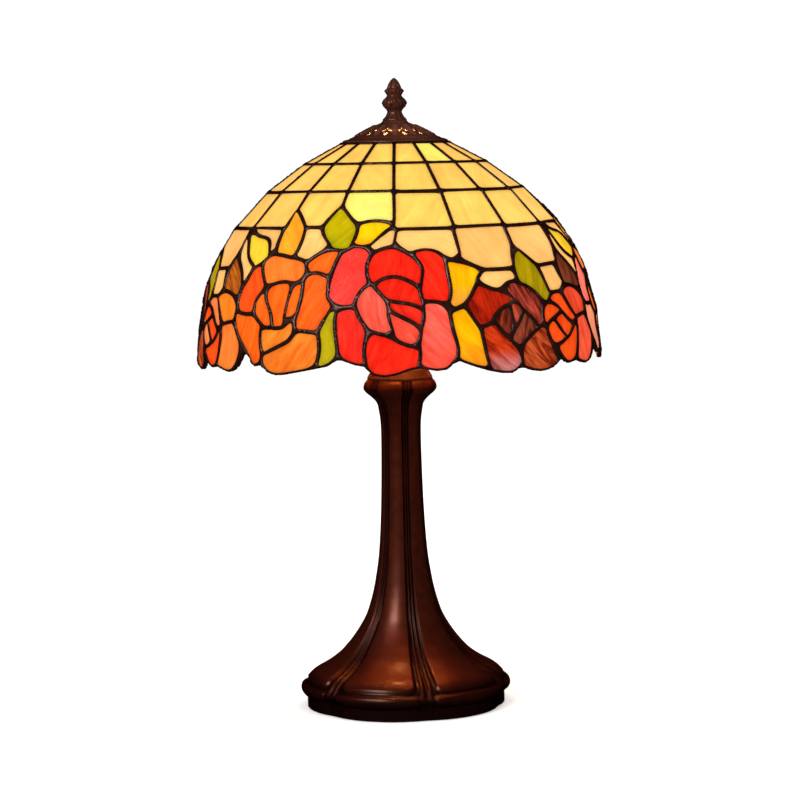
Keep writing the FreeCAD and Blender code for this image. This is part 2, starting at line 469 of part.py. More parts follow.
def harp_frame():
    """The bent wire of the harp, in two halves that the top hub joins."""
    path = harp_centre_line()
    section = Part.Wire(Part.makeCircle(HARP_WIRE_R, V(HARP_LEG_X, 0, HARP_LEG_Z), UP))
    wire = path.makePipeShell([section], True, True)
    return wire.cut(Part.makeCylinder(7.0, 30, V(0, 0, HARP_TOP_Z - 15)))


def harp_hub():
    """Top hub with the threaded stud that carries the shade and the finial."""
    return turned([(0, 428.5), (5.6, 428.5), (7.0, 430.0), (7.0, 435.5), (5.0, 437.0), (5.0, 441.6), (8.5, 442.0),
                   (8.5, CAP_TOP_Z - CAP_T - 0.3), (STUD_R, CAP_TOP_Z - CAP_T - 0.3), (STUD_R, STUD_TOP_Z - 0.6),
                   (STUD_R - 0.6, STUD_TOP_Z), (0, STUD_TOP_Z)])


def socket_cap():
    """Bell-shaped lower half of the socket's case."""
    outer = [(6.6, 268.4), (10.5, 268.4), (13.5, 271.5), (15.6, 276.0), (SOCKET_R, SOCKET_SPLIT_Z)]
    inner = [(SOCKET_R - 0.8, SOCKET_SPLIT_Z), (14.8, 276.2), (12.8, 272.2), (10.2, 269.4), (6.6, 269.4)]
    bell = turned(outer + inner)
    neck = tube(6.6, PIPE_R, 267.5, 272.5)
    return bell.fuse(neck).removeSplitter()


def socket_shell():
    """Straight upper half of the socket's case, open for the bulb, with a hole for the switch stem."""
    wall = tube(SOCKET_R - 0.9, SOCKET_R - 1.4, SOCKET_SPLIT_Z, SOCKET_TOP_Z)
    bead = turned([(SOCKET_R - 0.9, 289.0), (SOCKET_R, 289.8), (SOCKET_R, 291.2), (SOCKET_R - 0.9, 292.0)])
    lip = tube(SOCKET_R - 0.2, SOCKET_R - 0.9, SOCKET_TOP_Z - 1.5, SOCKET_TOP_Z)
    return wall.fuse([bead, lip]).cut(rear_cylinder(SWITCH_HOLE_R, 5, 25, SWITCH_Z))


def socket_sleeve():
    """Card insulating sleeve inside the shell."""
    sleeve = tube(SOCKET_R - 1.5, SOCKET_R - 2.1, 284.0, SOCKET_TOP_Z - 0.5)
    return sleeve.cut(rear_cylinder(SWITCH_HOLE_R, 5, 25, SWITCH_Z))


def socket_core():
    """Phenolic core with the screw shell's seat and the switch chamber."""
    block = Part.makeCylinder(14.4, 19.0, V(0, 0, 276.5))
    chamber = rear_cylinder(2.2, 6, 20, 291.0)
    contact_well = Part.makeCylinder(10.0, 4.0, V(0, 0, 291.5))
    return block.cut([chamber, contact_well])


def screw_shell():
    """Threaded brass shell that takes the bulb, with its centre contact below."""
    return tube(14.3, 13.3, 295.5, 319.0)


def switch_key():
    """Turn key on its stem, behind the socket."""
    stem = rear_cylinder(1.5, 15.0, 31.0, SWITCH_Z)
    collar = rear_cylinder(3.2, 29.0, 32.0, SWITCH_Z)
    paddle = Part.makeBox(12.0, 11.0, 3.2, V(-6.0, 30.5, SWITCH_Z - 1.6))
    rounding = [edge for edge in paddle.Edges if abs(edge.tangentAt(edge.FirstParameter).z) > 0.9]
    paddle = paddle.makeFillet(2.5, rounding)
    return stem.fuse([collar, paddle]).removeSplitter()


# ---- bulb ---------------------------------------------------------------------------------------------
def bulb_cap():
    """Screw cap of the bulb with its glass insulator and tip."""
    rounds = []
    low = 301.5
    while low < 317.0:
        rounds += [(BULB_BASE_R - 1.0, low), (BULB_BASE_R, low + 1.3)]
        low += 2.6
    profile = [(0, 296.2), (4.5, 296.2), (5.0, 297.4), (8.0, 299.0), (11.0, 301.0)] + rounds
    profile += [(BULB_BASE_R - 0.6, 321.5), (BULB_BASE_R - 0.6, 324.0), (0, 324.0)]
    return turned(profile)


def bulb_glass():
    """Pear-shaped envelope, hollow, round its filament stem."""
    outer = [(12.4, 324.0), (12.8, 330.0), (16.6, 342.0), (22.4, 354.0), (BULB_R, 364.0), (20.6, 377.0),
             (12.0, 385.6), (0, BULB_TOP_Z)]
    inner = [(11.6, 324.0), (12.0, 330.0), (15.8, 342.2), (21.6, 354.2), (BULB_R - 0.8, 364.0), (19.9, 376.6),
             (11.6, 384.8), (0, BULB_TOP_Z - 0.8)]
    edges = [spline_edge(outer), spline_edge(inner)]
    edges += line_edges([outer[0], inner[0]])
    edges += line_edges([outer[-1], inner[-1]])
    return turned_edges(edges)


def bulb_stem():
    """Glass stem with two support wires and the filament across them."""
    stem = turned([(0, 324.0), (6.0, 324.0), (3.6, 332.0), (2.4, 345.0), (0, 345.0)])
    wires = []
    for side in (-1, 1):
        wires.append(Part.makeCylinder(0.5, 21.5, V(side * 1.6, 0, 344.0), V(side * 0.42, 0, 1)))
    filament = Part.makeCylinder(0.8, 20.6, V(-10.3, 0, 363.4), V(1, 0, 0))
    return stem.fuse(wires + [filament])


# ---- shade ----------------------------------------------------------------------------------------------
def dome_radius(z):
    """Radius of the shade's outer form at a height."""
    rise = (z - SHADE_LOW_Z) / SHADE_RISE
    return SHADE_R * (1 - rise ** SHADE_POWER) ** SHADE_ROOT


def dome_offset(z, proud):
    """(radius, height) of the point that stands proud of the form, square to it."""
    slope = (dome_radius(z + 0.05) - dome_radius(z - 0.05)) / 0.1
    length = math.hypot(1, slope)
    return dome_radius(z) + proud / length, z - slope * proud / length


def dome_point(angle, z, proud=0.0):
    """A point of the shade at an angle from the front."""
    r, height = dome_offset(z, proud)
    a = math.radians(angle)
    return V(r * math.sin(a), -r * math.cos(a), height)


def pane_face(outline):
    """The flat face that fits an outline's corners best, and its outward normal."""
    corners = [dome_point(a, z, -GLASS_INSET) for a, z in outline]
    centre = ORIGIN
    for corner in corners:
        centre = centre + corner * (1 / len(corners))
    normal = ORIGIN
    for a, b in zip(corners, corners[1:] + corners[:1]):
        normal = normal + (a - centre).cross(b - centre)
    normal.normalize()
    if normal.dot(centre - V(0, 0, SHADE_LOW_Z)) < 0:
        normal = normal * -1
    flat = [corner - normal * (corner - centre).dot(normal) for corner in corners]
    return Part.Face(Part.makePolygon(flat + flat[:1])), normal


def thickened(face, normal, outer, inner):
    """A slab from a flat face, from outer above it to inner below it."""
    start = face.copy()
    start.translate(normal * -inner)
    return start.extrude(normal * (outer + inner))


def row_outlines(low, high):
    """Eighteen four-sided panes between two rings, with the lead's width left between them."""
    outlines = []
    step = 360 / MERIDIANS
    for k in range(MERIDIANS):
        left = MERIDIAN_START + step * k
        right = left + step
        margin_low = math.degrees(LEAD_HALF_WIDTH / dome_radius(low))
        margin_high = math.degrees(LEAD_HALF_WIDTH / dome_radius(high))
        outlines.append([(left + margin_high, high), (right - margin_high, high),
                         (right - margin_low, low), (left + margin_low, low)])
    return outlines


def repeated(outlines):
    """The outlines of one third, copied round the shade."""
    copies = []
    for k in range(REPEATS):
        turn = 360 / REPEATS * k
        copies += [[(a + turn, z) for a, z in outline] for outline in outlines]
    return copies


def shade_outlines():
    """Every pane's outline, by the name of its node."""
    outlines = {name: row_outlines(low, high) for name, (low, high) in PANE_ROWS.items()}
    for name, third in LOWER_PANES.items():
        outlines[name] = repeated(third)
    return outlines


def shade_shell():
    """The dome as a plain shell of the lead's full thickness."""
    steps = 14
    shares = [math.sin(math.pi / 2 * i / steps) for i in range(steps + 1)]
    heights = [SHADE_HEM_Z + (SHADE_TOP_Z - SHADE_HEM_Z) * share for share in shares]
    outer = [dome_offset(z, LEAD_PROUD) for z in heights]
    inner = [dome_offset(z, -LEAD_DEEP) for z in heights]
    edges = [spline_edge(outer), spline_edge(inner)]
    edges += line_edges([outer[0], inner[0]])
    edges += line_edges([outer[-1], inner[-1]])
    return turned_edges(edges)


def hem_wedges():
    """Wedges below the scalloped hem, one under each stretch between two of its points."""
    third = HEM + [(HEM[0][0] + 360 / REPEATS, HEM[0][1])]
    wedges = []
    for k in range(REPEATS):
        for (a0, z0), (a1, z1) in zip(third, third[1:]):
            sides = []
            for r in (SHADE_R - 14, SHADE_R + 10):
                corners = []
                for angle, z in ((a0, z0), (a1, z1), (a1, SHADE_HEM_Z - 6), (a0, SHADE_HEM_Z - 6)):
                    a = math.radians(angle + 360 / REPEATS * k)
                    corners.append(V(r * math.sin(a), -r * math.cos(a), z))
                sides.append(Part.makePolygon(corners + corners[:1]))
            wedges.append(Part.makeLoft(sides, True, True))
    return wedges


def shade_pieces():
    """The glass nodes, each a group of flat panes, and the one web of lead that holds them."""
    glass = {}
    tools = hem_wedges()
    for name, outlines in shade_outlines().items():
        panes = []
        for outline in outlines:
            face, normal = pane_face(outline)
            panes.append(thickened(face, normal, GLASS_T / 2, GLASS_T / 2))
            tools.append(thickened(face, normal, 7.0, 9.0))
        glass[name] = Part.makeCompound(panes)
    web = shade_shell().cut(tools)
    return glass, web


def aperture_ring():
    """Brass ring soldered inside the shade's top edge."""
    top = dome_offset(SHADE_TOP_Z, LEAD_PROUD)
    low = dome_offset(SHADE_TOP_Z, -LEAD_DEEP)
    return turned([low, top, (36.0, top[1]), (36.0, low[1])])


def shade_cap():
    """Pierced cap over the shade's top opening, soldered to the aperture ring."""
    seat_z = dome_offset(SHADE_TOP_Z, LEAD_PROUD)[1]
    outer = [(CAP_R, seat_z), (CAP_R, seat_z + 0.8), (37.6, 430.6), (33.3, 432.2), (28.0, 435.0), (22.0, 438.2),
             (15.8, 441.2), (10.6, 443.4), (9.2, CAP_TOP_Z)]
    inner = [(STUD_R + 0.5, CAP_TOP_Z), (STUD_R + 0.5, CAP_TOP_Z - CAP_T), (8.8, CAP_TOP_Z - CAP_T),
             (15.0, 439.6), (21.3, 436.6), (27.3, 433.4), (32.8, 430.6), (36.6, seat_z)]
    cap = turned(outer + inner)
    holes = []
    for k in range(CAP_REPEATS):
        for radius, size, offset in CAP_HOLES:
            a = math.radians(360 / CAP_REPEATS * k + offset)
            foot = V(radius * math.sin(a), -radius * math.cos(a), SHADE_TOP_Z)
            holes.append(Part.makeCylinder(size, 20, foot))
    return cap.cut(holes)


def finial():
    """Cast finial with a threaded blind hole."""
    outline = [(8.9, FINIAL_Z), (8.6, 446.4), (6.3, 449.2), (5.6, 451.6), (7.2, 454.2), (9.2, 458.4), (7.6, 461.0),
               (5.7, 463.0), (6.6, 465.2), (7.1, 467.6), (5.6, 469.6), (4.1, 472.0), (1.6, 476.2), (0, FINIAL_TOP_Z)]
    edges = [spline_edge(outline)] + line_edges([outline[-1], (0, FINIAL_Z), outline[0]])
    hole = Part.makeCylinder(STUD_R + 0.08, STUD_TOP_Z + 1 - FINIAL_Z, V(0, 0, FINIAL_Z))
    return turned_edges(edges).cut(hole)


# ---- all nodes --------------------------------------------------------------------------------------------
def all_nodes():
    glass, web = shade_pieces()
    nodes = {
        "felt_pad": felt_pad(),
        "weight_plate": weight_plate(),
        "base_casting": base_casting(),
        "cord_grommet": cord_grommet(),
        "pipe_washer": pipe_washer(),
        "pipe_nut": pipe_nut(),
        "lamp_pipe": lamp_pipe(),
        "collar_cap": collar_cap(),
        "harp_saddle": harp_saddle(),
        "saddle_nut": saddle_nut(),
        "socket_cap": socket_cap(),
        "socket_core": socket_core(),
        "screw_shell": screw_shell(),
        "socket_sleeve": socket_sleeve(),
        "socket_shell": socket_shell(),
        "switch_key": switch_key(),
        "bulb_cap": bulb_cap(),
        "bulb_stem": bulb_stem(),
        "bulb_glass": bulb_glass(),
        "harp_ferrule_left": harp_ferrule(-1),
        "harp_ferrule_right": harp_ferrule(1),
        "harp_frame": harp_frame(),
        "harp_hub": harp_hub(),
        "solder_web": web,
        "aperture_ring": aperture_ring(),
        "shade_cap": shade_cap(),
        "finial": finial(),
    }
    nodes.update(glass)
    return nodes


def main():
    os.makedirs("parts", exist_ok=True)
    for name, shape in all_nodes().items():
        shape.exportStep("parts/" + name + ".step")
        print(name, len(shape.Solids), round(shape.Volume), shape.isValid())


main()
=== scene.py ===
"""Scene for the stained glass table lamp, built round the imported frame.

Lengths are worked in millimetres and turned into metres where a mesh is made. The lamp's front faces -Y,
and an angle on the lamp is in degrees from the front, positive towards +X.
"""
import math

import bpy
import numpy as np
from mathutils import Matrix, Vector, noise
from mathutils.bvhtree import BVHTree
from mathutils.geometry import delaunay_2d_cdt
from mathutils.kdtree import KDTree


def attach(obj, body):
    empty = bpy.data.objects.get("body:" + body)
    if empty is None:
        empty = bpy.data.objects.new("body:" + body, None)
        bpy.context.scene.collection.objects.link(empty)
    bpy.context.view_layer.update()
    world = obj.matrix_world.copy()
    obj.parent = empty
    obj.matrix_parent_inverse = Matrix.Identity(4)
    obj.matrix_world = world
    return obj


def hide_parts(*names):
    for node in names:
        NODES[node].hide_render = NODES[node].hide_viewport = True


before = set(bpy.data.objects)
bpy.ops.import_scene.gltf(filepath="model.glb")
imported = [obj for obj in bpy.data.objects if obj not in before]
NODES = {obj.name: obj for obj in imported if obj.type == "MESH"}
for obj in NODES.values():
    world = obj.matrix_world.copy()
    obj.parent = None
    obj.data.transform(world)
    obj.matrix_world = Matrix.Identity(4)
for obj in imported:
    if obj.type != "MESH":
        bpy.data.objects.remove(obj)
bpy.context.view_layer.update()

# ---- dimensions ------------------------------------------------------------------------
MM = 0.001

SHADE_R = 152.7
SHADE_LOW_Z = 231.95
SHADE_RISE = 209.85
SHADE_POWER = 3.149
SHADE_ROOT = 0.798
SHADE_TOP_Z = 428.2
SHADE_HEM_Z = 258.0
SHADE_THIRD = 120.0
THIRD_START = -62.0
GLASS_T = 2.5
PANE_GROWTH_MAX = 1.3
GLASS_UNDER_LEAD = 0.7
BEAD_HALF_WIDTH = 1.45
BEAD_RISE = 1.25
BEAD_SINK = 0.3
BULB_Z = 362.0

STRAP_FIRST_ANGLE = 12.0
STRAP_STEP = 60.0

CAMERA_DISTANCE = 2.1
CAMERA_HEIGHT = 0.425
CAMERA_PITCH = 5.215
CAMERA_ROLL = 1.15
CAMERA_SENSOR = 36.0
CAMERA_LENS = 124.74
CAMERA_SHIFT = -0.0004
WORLD_STRENGTH = 1.05
FLOOR_HALF_SIZE = 30.0

GLASS_NODES = ["cream_upper_row", "cream_middle_row", "cream_lower_row", "cream_fill_panes",
               "red_rose_petals", "orange_rose_petals", "brown_rose_petals", "small_rose_petals",
               "green_leaves", "amber_leaves", "yellow_leaves", "orange_leaves", "brown_leaves",
               "olive_leaves"]


# ---- small helpers ---------------------------------------------------------------------
def lin(red, green, blue):
    """A linear colour from 0 to 255 screen values."""
    values = []
    for c in (red, green, blue):
        c = c / 255
        values.append(c / 12.92 if c <= 0.04045 else ((c + 0.055) / 1.055) ** 2.4)
    return (*values, 1.0)


def smooth_step(x):
    """0 below 0, 1 above 1 and a soft rise between."""
    x = np.clip(x, 0, 1)
    return x * x * (3 - 2 * x)


def catmull(points, spacing):
    """Points about one spacing apart on a smooth curve through the given ones."""
    p = np.array(points, float)
    p = np.vstack([2 * p[0] - p[1], p, 2 * p[-1] - p[-2]])
    out = []
    for a, b, c, d in zip(p, p[1:], p[2:], p[3:]):
        steps = max(1, int(round(np.linalg.norm(c - b) / spacing)))
        for t in np.arange(steps) / steps:
            out.append(0.5 * (2 * b + (c - a) * t + (2 * a - 5 * b + 4 * c - d) * t ** 2
                              + (3 * b - a - 3 * c + d) * t ** 3))
    out.append(p[-2])
    return np.array(out)


def make_object(name, points, faces, body, material):
    """A smooth-shaded mesh object from millimetre points, riding on a body."""
    mesh = bpy.data.meshes.new(name)
    mesh.from_pydata((np.asarray(points) * MM).tolist(), [], [list(f) for f in faces])
    mesh.polygons.foreach_set("use_smooth", [True] * len(mesh.polygons))
    mesh.set_sharp_from_angle(angle=math.radians(50))
    mesh.update()
    obj = bpy.data.objects.new(name, mesh)
    bpy.context.scene.collection.objects.link(obj)
    obj.data.materials.append(material)
    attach(obj, body)
    return obj


def add_colours(obj, name, values):
    """One linear colour per vertex, for the material to read."""
    layer = obj.data.attributes.new(name, "FLOAT_COLOR", "POINT")
    layer.data.foreach_set("color", np.asarray(values, np.float32).ravel())


def add_vectors(obj, name, values):
    layer = obj.data.attributes.new(name, "FLOAT_VECTOR", "POINT")
    layer.data.foreach_set("vector", np.asarray(values, np.float32).ravel())


def add_floats(obj, name, values):
    layer = obj.data.attributes.new(name, "FLOAT", "POINT")
    layer.data.foreach_set("value", np.asarray(values, np.float32).ravel())


# ---- material building -----------------------------------------------------------------
class Shader:
    """A material with one Principled shader, and short ways to add nodes to it."""

    def __init__(self, name):
        self.material = bpy.data.materials.new(name)
        self.material.use_nodes = True
        self.tree = self.material.node_tree
        self.bsdf = self.tree.nodes["Principled BSDF"]

    def node(self, kind, links=(), **values):
        """A node; values set its properties or unlinked sockets, and links join its inputs to outputs."""
        made = self.tree.nodes.new("ShaderNode" + kind)
        for key, value in values.items():
            socket = key.replace("_", " ")
            if hasattr(made, key):
                setattr(made, key, value)
            else:
                made.inputs[socket].default_value = value
        for socket, source in dict(links).items():
            self.tree.links.new(source, made.inputs[socket])
        return made

    def set(self, **values):
        for key, value in values.items():
            self.bsdf.inputs[key.replace("_", " ")].default_value = value

    def link(self, source, socket):
        self.tree.links.new(source, self.bsdf.inputs[socket])

    def where(self):
        """Object coordinates, in metres."""
        return self.node("TexCoord").outputs["Object"]

    def attribute(self, name, output):
        return self.node("Attribute", attribute_name=name).outputs[output]

    def noise(self, vector, scale, detail=3.0, roughness=0.55, distortion=0.0):
        made = self.node("TexNoise", {"Vector": vector}, Scale=scale, Detail=detail, Roughness=roughness,
                         Distortion=distortion)
        return made.outputs["Fac"]

    def ramp(self, factor, stops):
        made = self.node("ValToRGB", {"Fac": factor})
        elements = made.color_ramp.elements
        while len(elements) < len(stops):
            elements.new(0.5)
        for element, (position, colour) in zip(elements, stops):
            element.position = position
            element.color = colour
        return made.outputs["Color"]

    def span(self, value, low, high, to_low, to_high):
        made = self.node("MapRange", {"Value": value})
        for index, number in enumerate((low, high, to_low, to_high)):
            made.inputs[index + 1].default_value = number
        return made.outputs["Result"]

    def mix(self, factor, a, b, blend="MIX"):
        """A mix of two colours; each of the three is a number, a colour or an output."""
        made = self.node("Mix", data_type="RGBA", blend_type=blend)
        for index, value in ((0, factor), (6, a), (7, b)):
            if isinstance(value, bpy.types.NodeSocket):
                self.tree.links.new(value, made.inputs[index])
            else:
                made.inputs[index].default_value = value
        return made.outputs[2]

    def maths(self, operation, a, b=0.0):
        made = self.node("Math", operation=operation)
        for index, value in ((0, a), (1, b)):
            if isinstance(value, bpy.types.NodeSocket):
                self.tree.links.new(value, made.inputs[index])
            else:
                made.inputs[index].default_value = value
        return made.outputs[0]

    def bump(self, height, strength, distance):
        made = self.node("Bump", {"Height": height}, Strength=strength, Distance=distance)
        self.link(made.outputs["Normal"], "Normal")


def grey(value):
    return (value, value, value, 1.0)


def bronze_material(name, metallic, deep, middle, light, rubbed):
    """Cast bronze with a red-brown lacquer: the recesses darkened as painted shade, rubbed on the ridges.

    A relief below zero marks a pale lining.
    """
    s = Shader(name)
    place = s.where()
    cloud = s.noise(place, 28.0, 4.0)
    base = s.ramp(cloud, [(0.3, lin(*deep)), (0.55, lin(*middle)), (0.8, lin(*light))])
    relief = s.attribute("relief", "Fac")
    # Painted shade: the lower the relief value, the nearer the colour goes to near black.
    painted_recess_shade = s.mix(s.span(relief, 0.0, 0.7, 0.85, 0.0), base, lin(12, 3, 2))
    rub = s.maths("MULTIPLY", s.span(relief, 0.86, 1.0, 0.0, 0.45), s.noise(place, 160.0, 3.0))
    finish = s.mix(rub, painted_recess_shade, lin(*rubbed))
    s.link(s.mix(s.span(relief, -0.7, -0.3, 1.0, 0.0), finish, lin(255, 236, 205)), "Base Color")
    s.link(s.span(s.noise(place, 90.0, 5.0, 0.65), 0.3, 0.8, 0.34, 0.5), "Roughness")
    s.bump(s.noise(place, 420.0, 4.0), 0.12, 0.0006)
    s.set(Metallic=metallic, Coat_Weight=0.22, Coat_Roughness=0.26, Specular_Tint=lin(255, 150, 104))
    return s.material


def solder_material():
    """Tin-lead beads with a dark brown-black patina, brighter where the patina is thin."""
    s = Shader("patina_solder")
    place = s.where()
    cloud = s.noise(place, 75.0, 4.0)
    base = s.ramp(cloud, [(0.3, lin(28, 10, 6)), (0.6, lin(48, 20, 13)), (0.85, lin(88, 56, 46))])
    s.link(base, "Base Color")
    s.link(s.span(s.noise(place, 240.0, 3.0), 0.3, 0.75, 0.24, 0.5), "Roughness")
    s.bump(s.noise(place, 520.0, 3.0), 0.25, 0.0006)
    s.set(Metallic=0.5)
    return s.material


def glass_material(name, streak_scale, contrast, ripple):
    """Opalescent sheet glass with the light from behind painted on as emission: each pane brings its own two
    colours and its own grain.
    """
    s = Shader(name)
    flow = s.attribute("flow", "Vector")
    stretched = s.node("Mapping", {"Vector": flow}, Scale=(1.0, 0.16, 1.0)).outputs["Vector"]
    wisp = s.noise(stretched, streak_scale, 4.0, 0.6, 1.2)
    fine = s.noise(stretched, streak_scale * 4.5, 3.0, 0.6, 0.4)
    amount = s.span(s.maths("ADD", s.maths("MULTIPLY", wisp, 0.75), s.maths("MULTIPLY", fine, 0.25)),
                    0.5 - contrast, 0.5 + contrast, 0.0, 1.0)
    colour = s.mix(amount, s.attribute("tone_a", "Color"), s.attribute("tone_b", "Color"))
    cloud = s.span(s.noise(flow, 45.0, 2.0), 0.3, 0.7, 0.86, 1.08)
    glow = s.attribute("glow", "Fac")
    level = s.maths("MULTIPLY", cloud, glow)
    lit = s.node("VectorMath", {0: colour}, operation="SCALE")
    s.tree.links.new(level, lit.inputs["Scale"])
    s.link(s.mix(1.0, colour, grey(0.16), "MULTIPLY"), "Base Color")
    s.link(lit.outputs["Vector"], "Emission Color")
    s.link(s.span(s.noise(flow, 60.0, 2.0), 0.3, 0.7, 0.1, 0.24), "Roughness")
    rolled = s.node("Mapping", {"Vector": flow}, Scale=(1.0, 0.35, 1.0)).outputs["Vector"]
    s.bump(s.noise(rolled, 110.0, 2.0), ripple, 0.0012)
    s.set(Emission_Strength=0.9, IOR=1.5, Specular_IOR_Level=0.045)
    return s.material


def plain_material(name, low, high, scale, rough, metallic, bump=0.1):
    """A finish with two close tones clouded together and a fine grain."""
    s = Shader(name)
    place = s.where()
    cloud = s.span(s.noise(place, scale, 4.0), 0.3, 0.7, 0.0, 1.0)
    s.link(s.mix(cloud, lin(*low), lin(*high)), "Base Color")
    s.link(s.span(s.noise(place, scale * 3, 4.0), 0.3, 0.75, rough * 0.8, rough * 1.25), "Roughness")
    s.bump(s.noise(place, scale * 9, 3.0), bump, 0.0004)
    s.set(Metallic=metallic)
    return s.material


def bulb_material():
    """Frosted bulb glass, lit."""
    s = Shader("lit_bulb_glass")
    place = s.where()
    cloud = s.span(s.noise(place, 40.0, 2.0), 0.3, 0.7, 0.0, 1.0)
    warm = s.mix(cloud, lin(255, 186, 104), lin(255, 204, 128))
    s.link(warm, "Base Color")
    s.link(warm, "Emission Color")
    s.bump(s.noise(place, 900.0, 2.0), 0.05, 0.0003)
    s.set(Emission_Strength=130.0, Roughness=0.35)
    return s.material


# ---- surfaces of revolution ------------------------------------------------------------
class Form:
    """A surface of revolution that pieces are laid out on.

    level is the even-angled (Mercator) coordinate along its outline, so distances near a point keep their
    proportions: one unit of level is one radian of turn.
    """

    def __init__(self, outline):
        self.r = outline[:, 0]
        self.z = outline[:, 1]
        step = np.hypot(np.diff(self.r), np.diff(self.z))
        middle = (self.r[1:] + self.r[:-1]) / 2
        self.levels = np.concatenate([[0], np.cumsum(step / middle)])
        dr = np.gradient(self.r)
        dz = np.gradient(self.z)
        length = np.hypot(dr, dz)
        self.normal_r = dz / length
        self.normal_z = -dr / length

    def place(self, angle, level, offset=0.0):
        """Points standing offset proud of the form."""
        r = np.interp(level, self.levels, self.r) + offset * np.interp(level, self.levels, self.normal_r)
        z = np.interp(level, self.levels, self.z) + offset * np.interp(level, self.levels, self.normal_z)
        a = np.radians(angle)
        return np.stack([r * np.sin(a), -r * np.cos(a), z], axis=-1)

    def at(self, xy, offset=0.0):
        """place, for rows of (angle, level)."""
        return self.place(xy[:, 0], xy[:, 1], offset)

    def radius(self, level):
        return np.interp(level, self.levels, self.r)

    def locate(self, points):
        """Angle, level and height above the form of points near it."""
        points = np.asarray(points, float)
        r = np.hypot(points[:, 0], points[:, 1])
        gap = (r[:, None] - self.r[None]) ** 2 + (points[:, 2:3] - self.z[None]) ** 2
        best = gap.argmin(axis=1)
        offset = ((r - self.r[best]) * self.normal_r[best]
                  + (points[:, 2] - self.z[best]) * self.normal_z[best])
        return np.degrees(np.arctan2(points[:, 0], -points[:, 1])), self.levels[best], offset


def dome_form():
    """The shade's outer form, from below its hem to the ring under its cap."""
    z = np.linspace(SHADE_HEM_Z - 4, SHADE_TOP_Z, 2400)
    rise = (z - SHADE_LOW_Z) / SHADE_RISE
    return Form(np.stack([SHADE_R * (1 - rise ** SHADE_POWER) ** SHADE_ROOT, z], axis=1))


def near_start(angle, start, period):
    """The angle moved by whole periods into the one that begins at start."""
    return (angle - start) % period + start


def tiled(start, period, holes, low, high, spare):
    """Triangles of one period of a form between two edges, less its holes.

    holes, low and high are (angle, level) lines; spare are the free points between them. Returns
    (angle, level) of the points and the triangles whose middle lies in the period.
    """
    margin = 9.0 + period / 7
    points = []
    edges = []
    faces = []

    def add_loop(loop):
        """A closed line to keep, taken anticlockwise and in radians."""
        xy = loop * (math.pi / 180, 1)
        if (xy[:, 0] * np.roll(xy[:, 1], -1) - np.roll(xy[:, 0], -1) * xy[:, 1]).sum() < 0:
            xy = xy[::-1]
        first = len(points)
        points.extend(xy)
        count = len(xy)
        edges.extend((first + i, first + (i + 1) % count) for i in range(count))
        faces.append(list(range(first, first + count)))

    def stretch(line):
        """An edge line of one period, repeated to fill the margins."""
        copies = np.vstack([line + (k * period, 0) for k in (-1, 0, 1)])
        inside = (copies[:, 0] > start - margin) & (copies[:, 0] < start + period + margin)
        return copies[inside]

    low_line = stretch(low)
    high_line = stretch(high)
    border = np.vstack([low_line, high_line[::-1]])
    add_loop(border)
    for hole in holes:
        for k in (-2, -1, 0, 1, 2):
            loop = hole + (k * period, 0)
            if loop[:, 0].min() > start - margin and loop[:, 0].max() < start + period + margin:
                add_loop(loop)
    for k in (-1, 0, 1):
        moved = spare + (k * period, 0)
        keep = (moved[:, 0] > start - margin) & (moved[:, 0] < start + period + margin)
        points.extend(moved[keep] * (math.pi / 180, 1))
    out = delaunay_2d_cdt([Vector(p) for p in points], edges, faces, 0, 1e-7, True)
    xy = np.array([points[sources[0]] if sources else tuple(v) for v, sources in zip(out[0], out[3])])
    xy[:, 0] = np.degrees(xy[:, 0])
    triangles = []
    for face, sources in zip(out[2], out[5]):
        if list(sources) == [0]:
            middle = sum(xy[i, 0] for i in face) / 3
            if start <= middle < start + period:
                triangles.append(face)
    return xy, np.array(triangles)


def round_form(xy, triangles, period):
    """One period's triangles repeated all the way round, with shared points merged.

    Returns the points, the triangles, a whole-number key of each point and the point of xy it comes from.
    """
    copies = int(round(360 / period))
    used = np.unique(triangles)
    renumber = np.full(len(xy), -1)
    renumber[used] = np.arange(len(used))
    part = xy[used]
    tris = renumber[triangles]
    everything = np.vstack([part + (k * period, 0) for k in range(copies)])
    faces = np.vstack([tris + k * len(part) for k in range(copies)])
    everything[:, 0] = np.mod(everything[:, 0], 360)
    keys = np.round(everything * (1e4, 1e6)).astype(np.int64)
    keys[:, 0] %= 3600000
    unique, index, inverse = np.unique(keys, axis=0, return_index=True, return_inverse=True)
    inverse = inverse.ravel()
    source = used[index % len(part)]
    return everything[index], inverse[faces], unique, source


def border_edges(triangles):
    """Directed edges that only one triangle has."""
    seen = {}
    for a, b, c in triangles.tolist():
        for edge in ((a, b), (b, c), (c, a)):
            seen[edge] = True
    return [(a, b) for a, b in seen if (b, a) not in seen]


def free_points(form, low_level, high_level, period, spacing, avoid, clear):
    """A staggered field of points over one period, none nearer than clear to the avoided places."""
    rows = []
    level = low_level
    odd = False
    while level < high_level:
        r = float(form.radius(level))
        count = max(6, int(round(math.radians(period) * r / spacing)))
        shift = 0.5 if odd else 0.0
        angles = (np.arange(count) + 0.25 + shift) * period / count
        wobble = 0.12 * period / count * np.sin(np.arange(count) * 12.9898 + level * 78.233)
        rows.append(np.stack([angles + wobble, np.full(count, level)], axis=1))
        level += spacing * 0.87 / r
        odd = not odd
    field = np.vstack(rows)
    places = form.at(field)
    kept = [i for i, p in enumerate(places) if avoid.find(p)[2] >= clear]
    return field[kept]


def point_tree(points):
    tree = KDTree(len(points))
    for i, p in enumerate(points):
        tree.insert(p, i)
    tree.balance()
    return tree


# ---- the shade's panes, read from the CAD nodes ----------------------------------------
class Pane:
    """One flat piece of glass: its outline on the outer face, its plane and where it sits on the shade."""

    def __init__(self, corners, normal):
        self.corners = corners
        self.normal = normal
        self.middle = corners.mean(axis=0)
        self.angle = math.degrees(math.atan2(self.middle[0], -self.middle[1]))
        self.height = self.middle[2]
        self.outline = rounded_outline(corners)


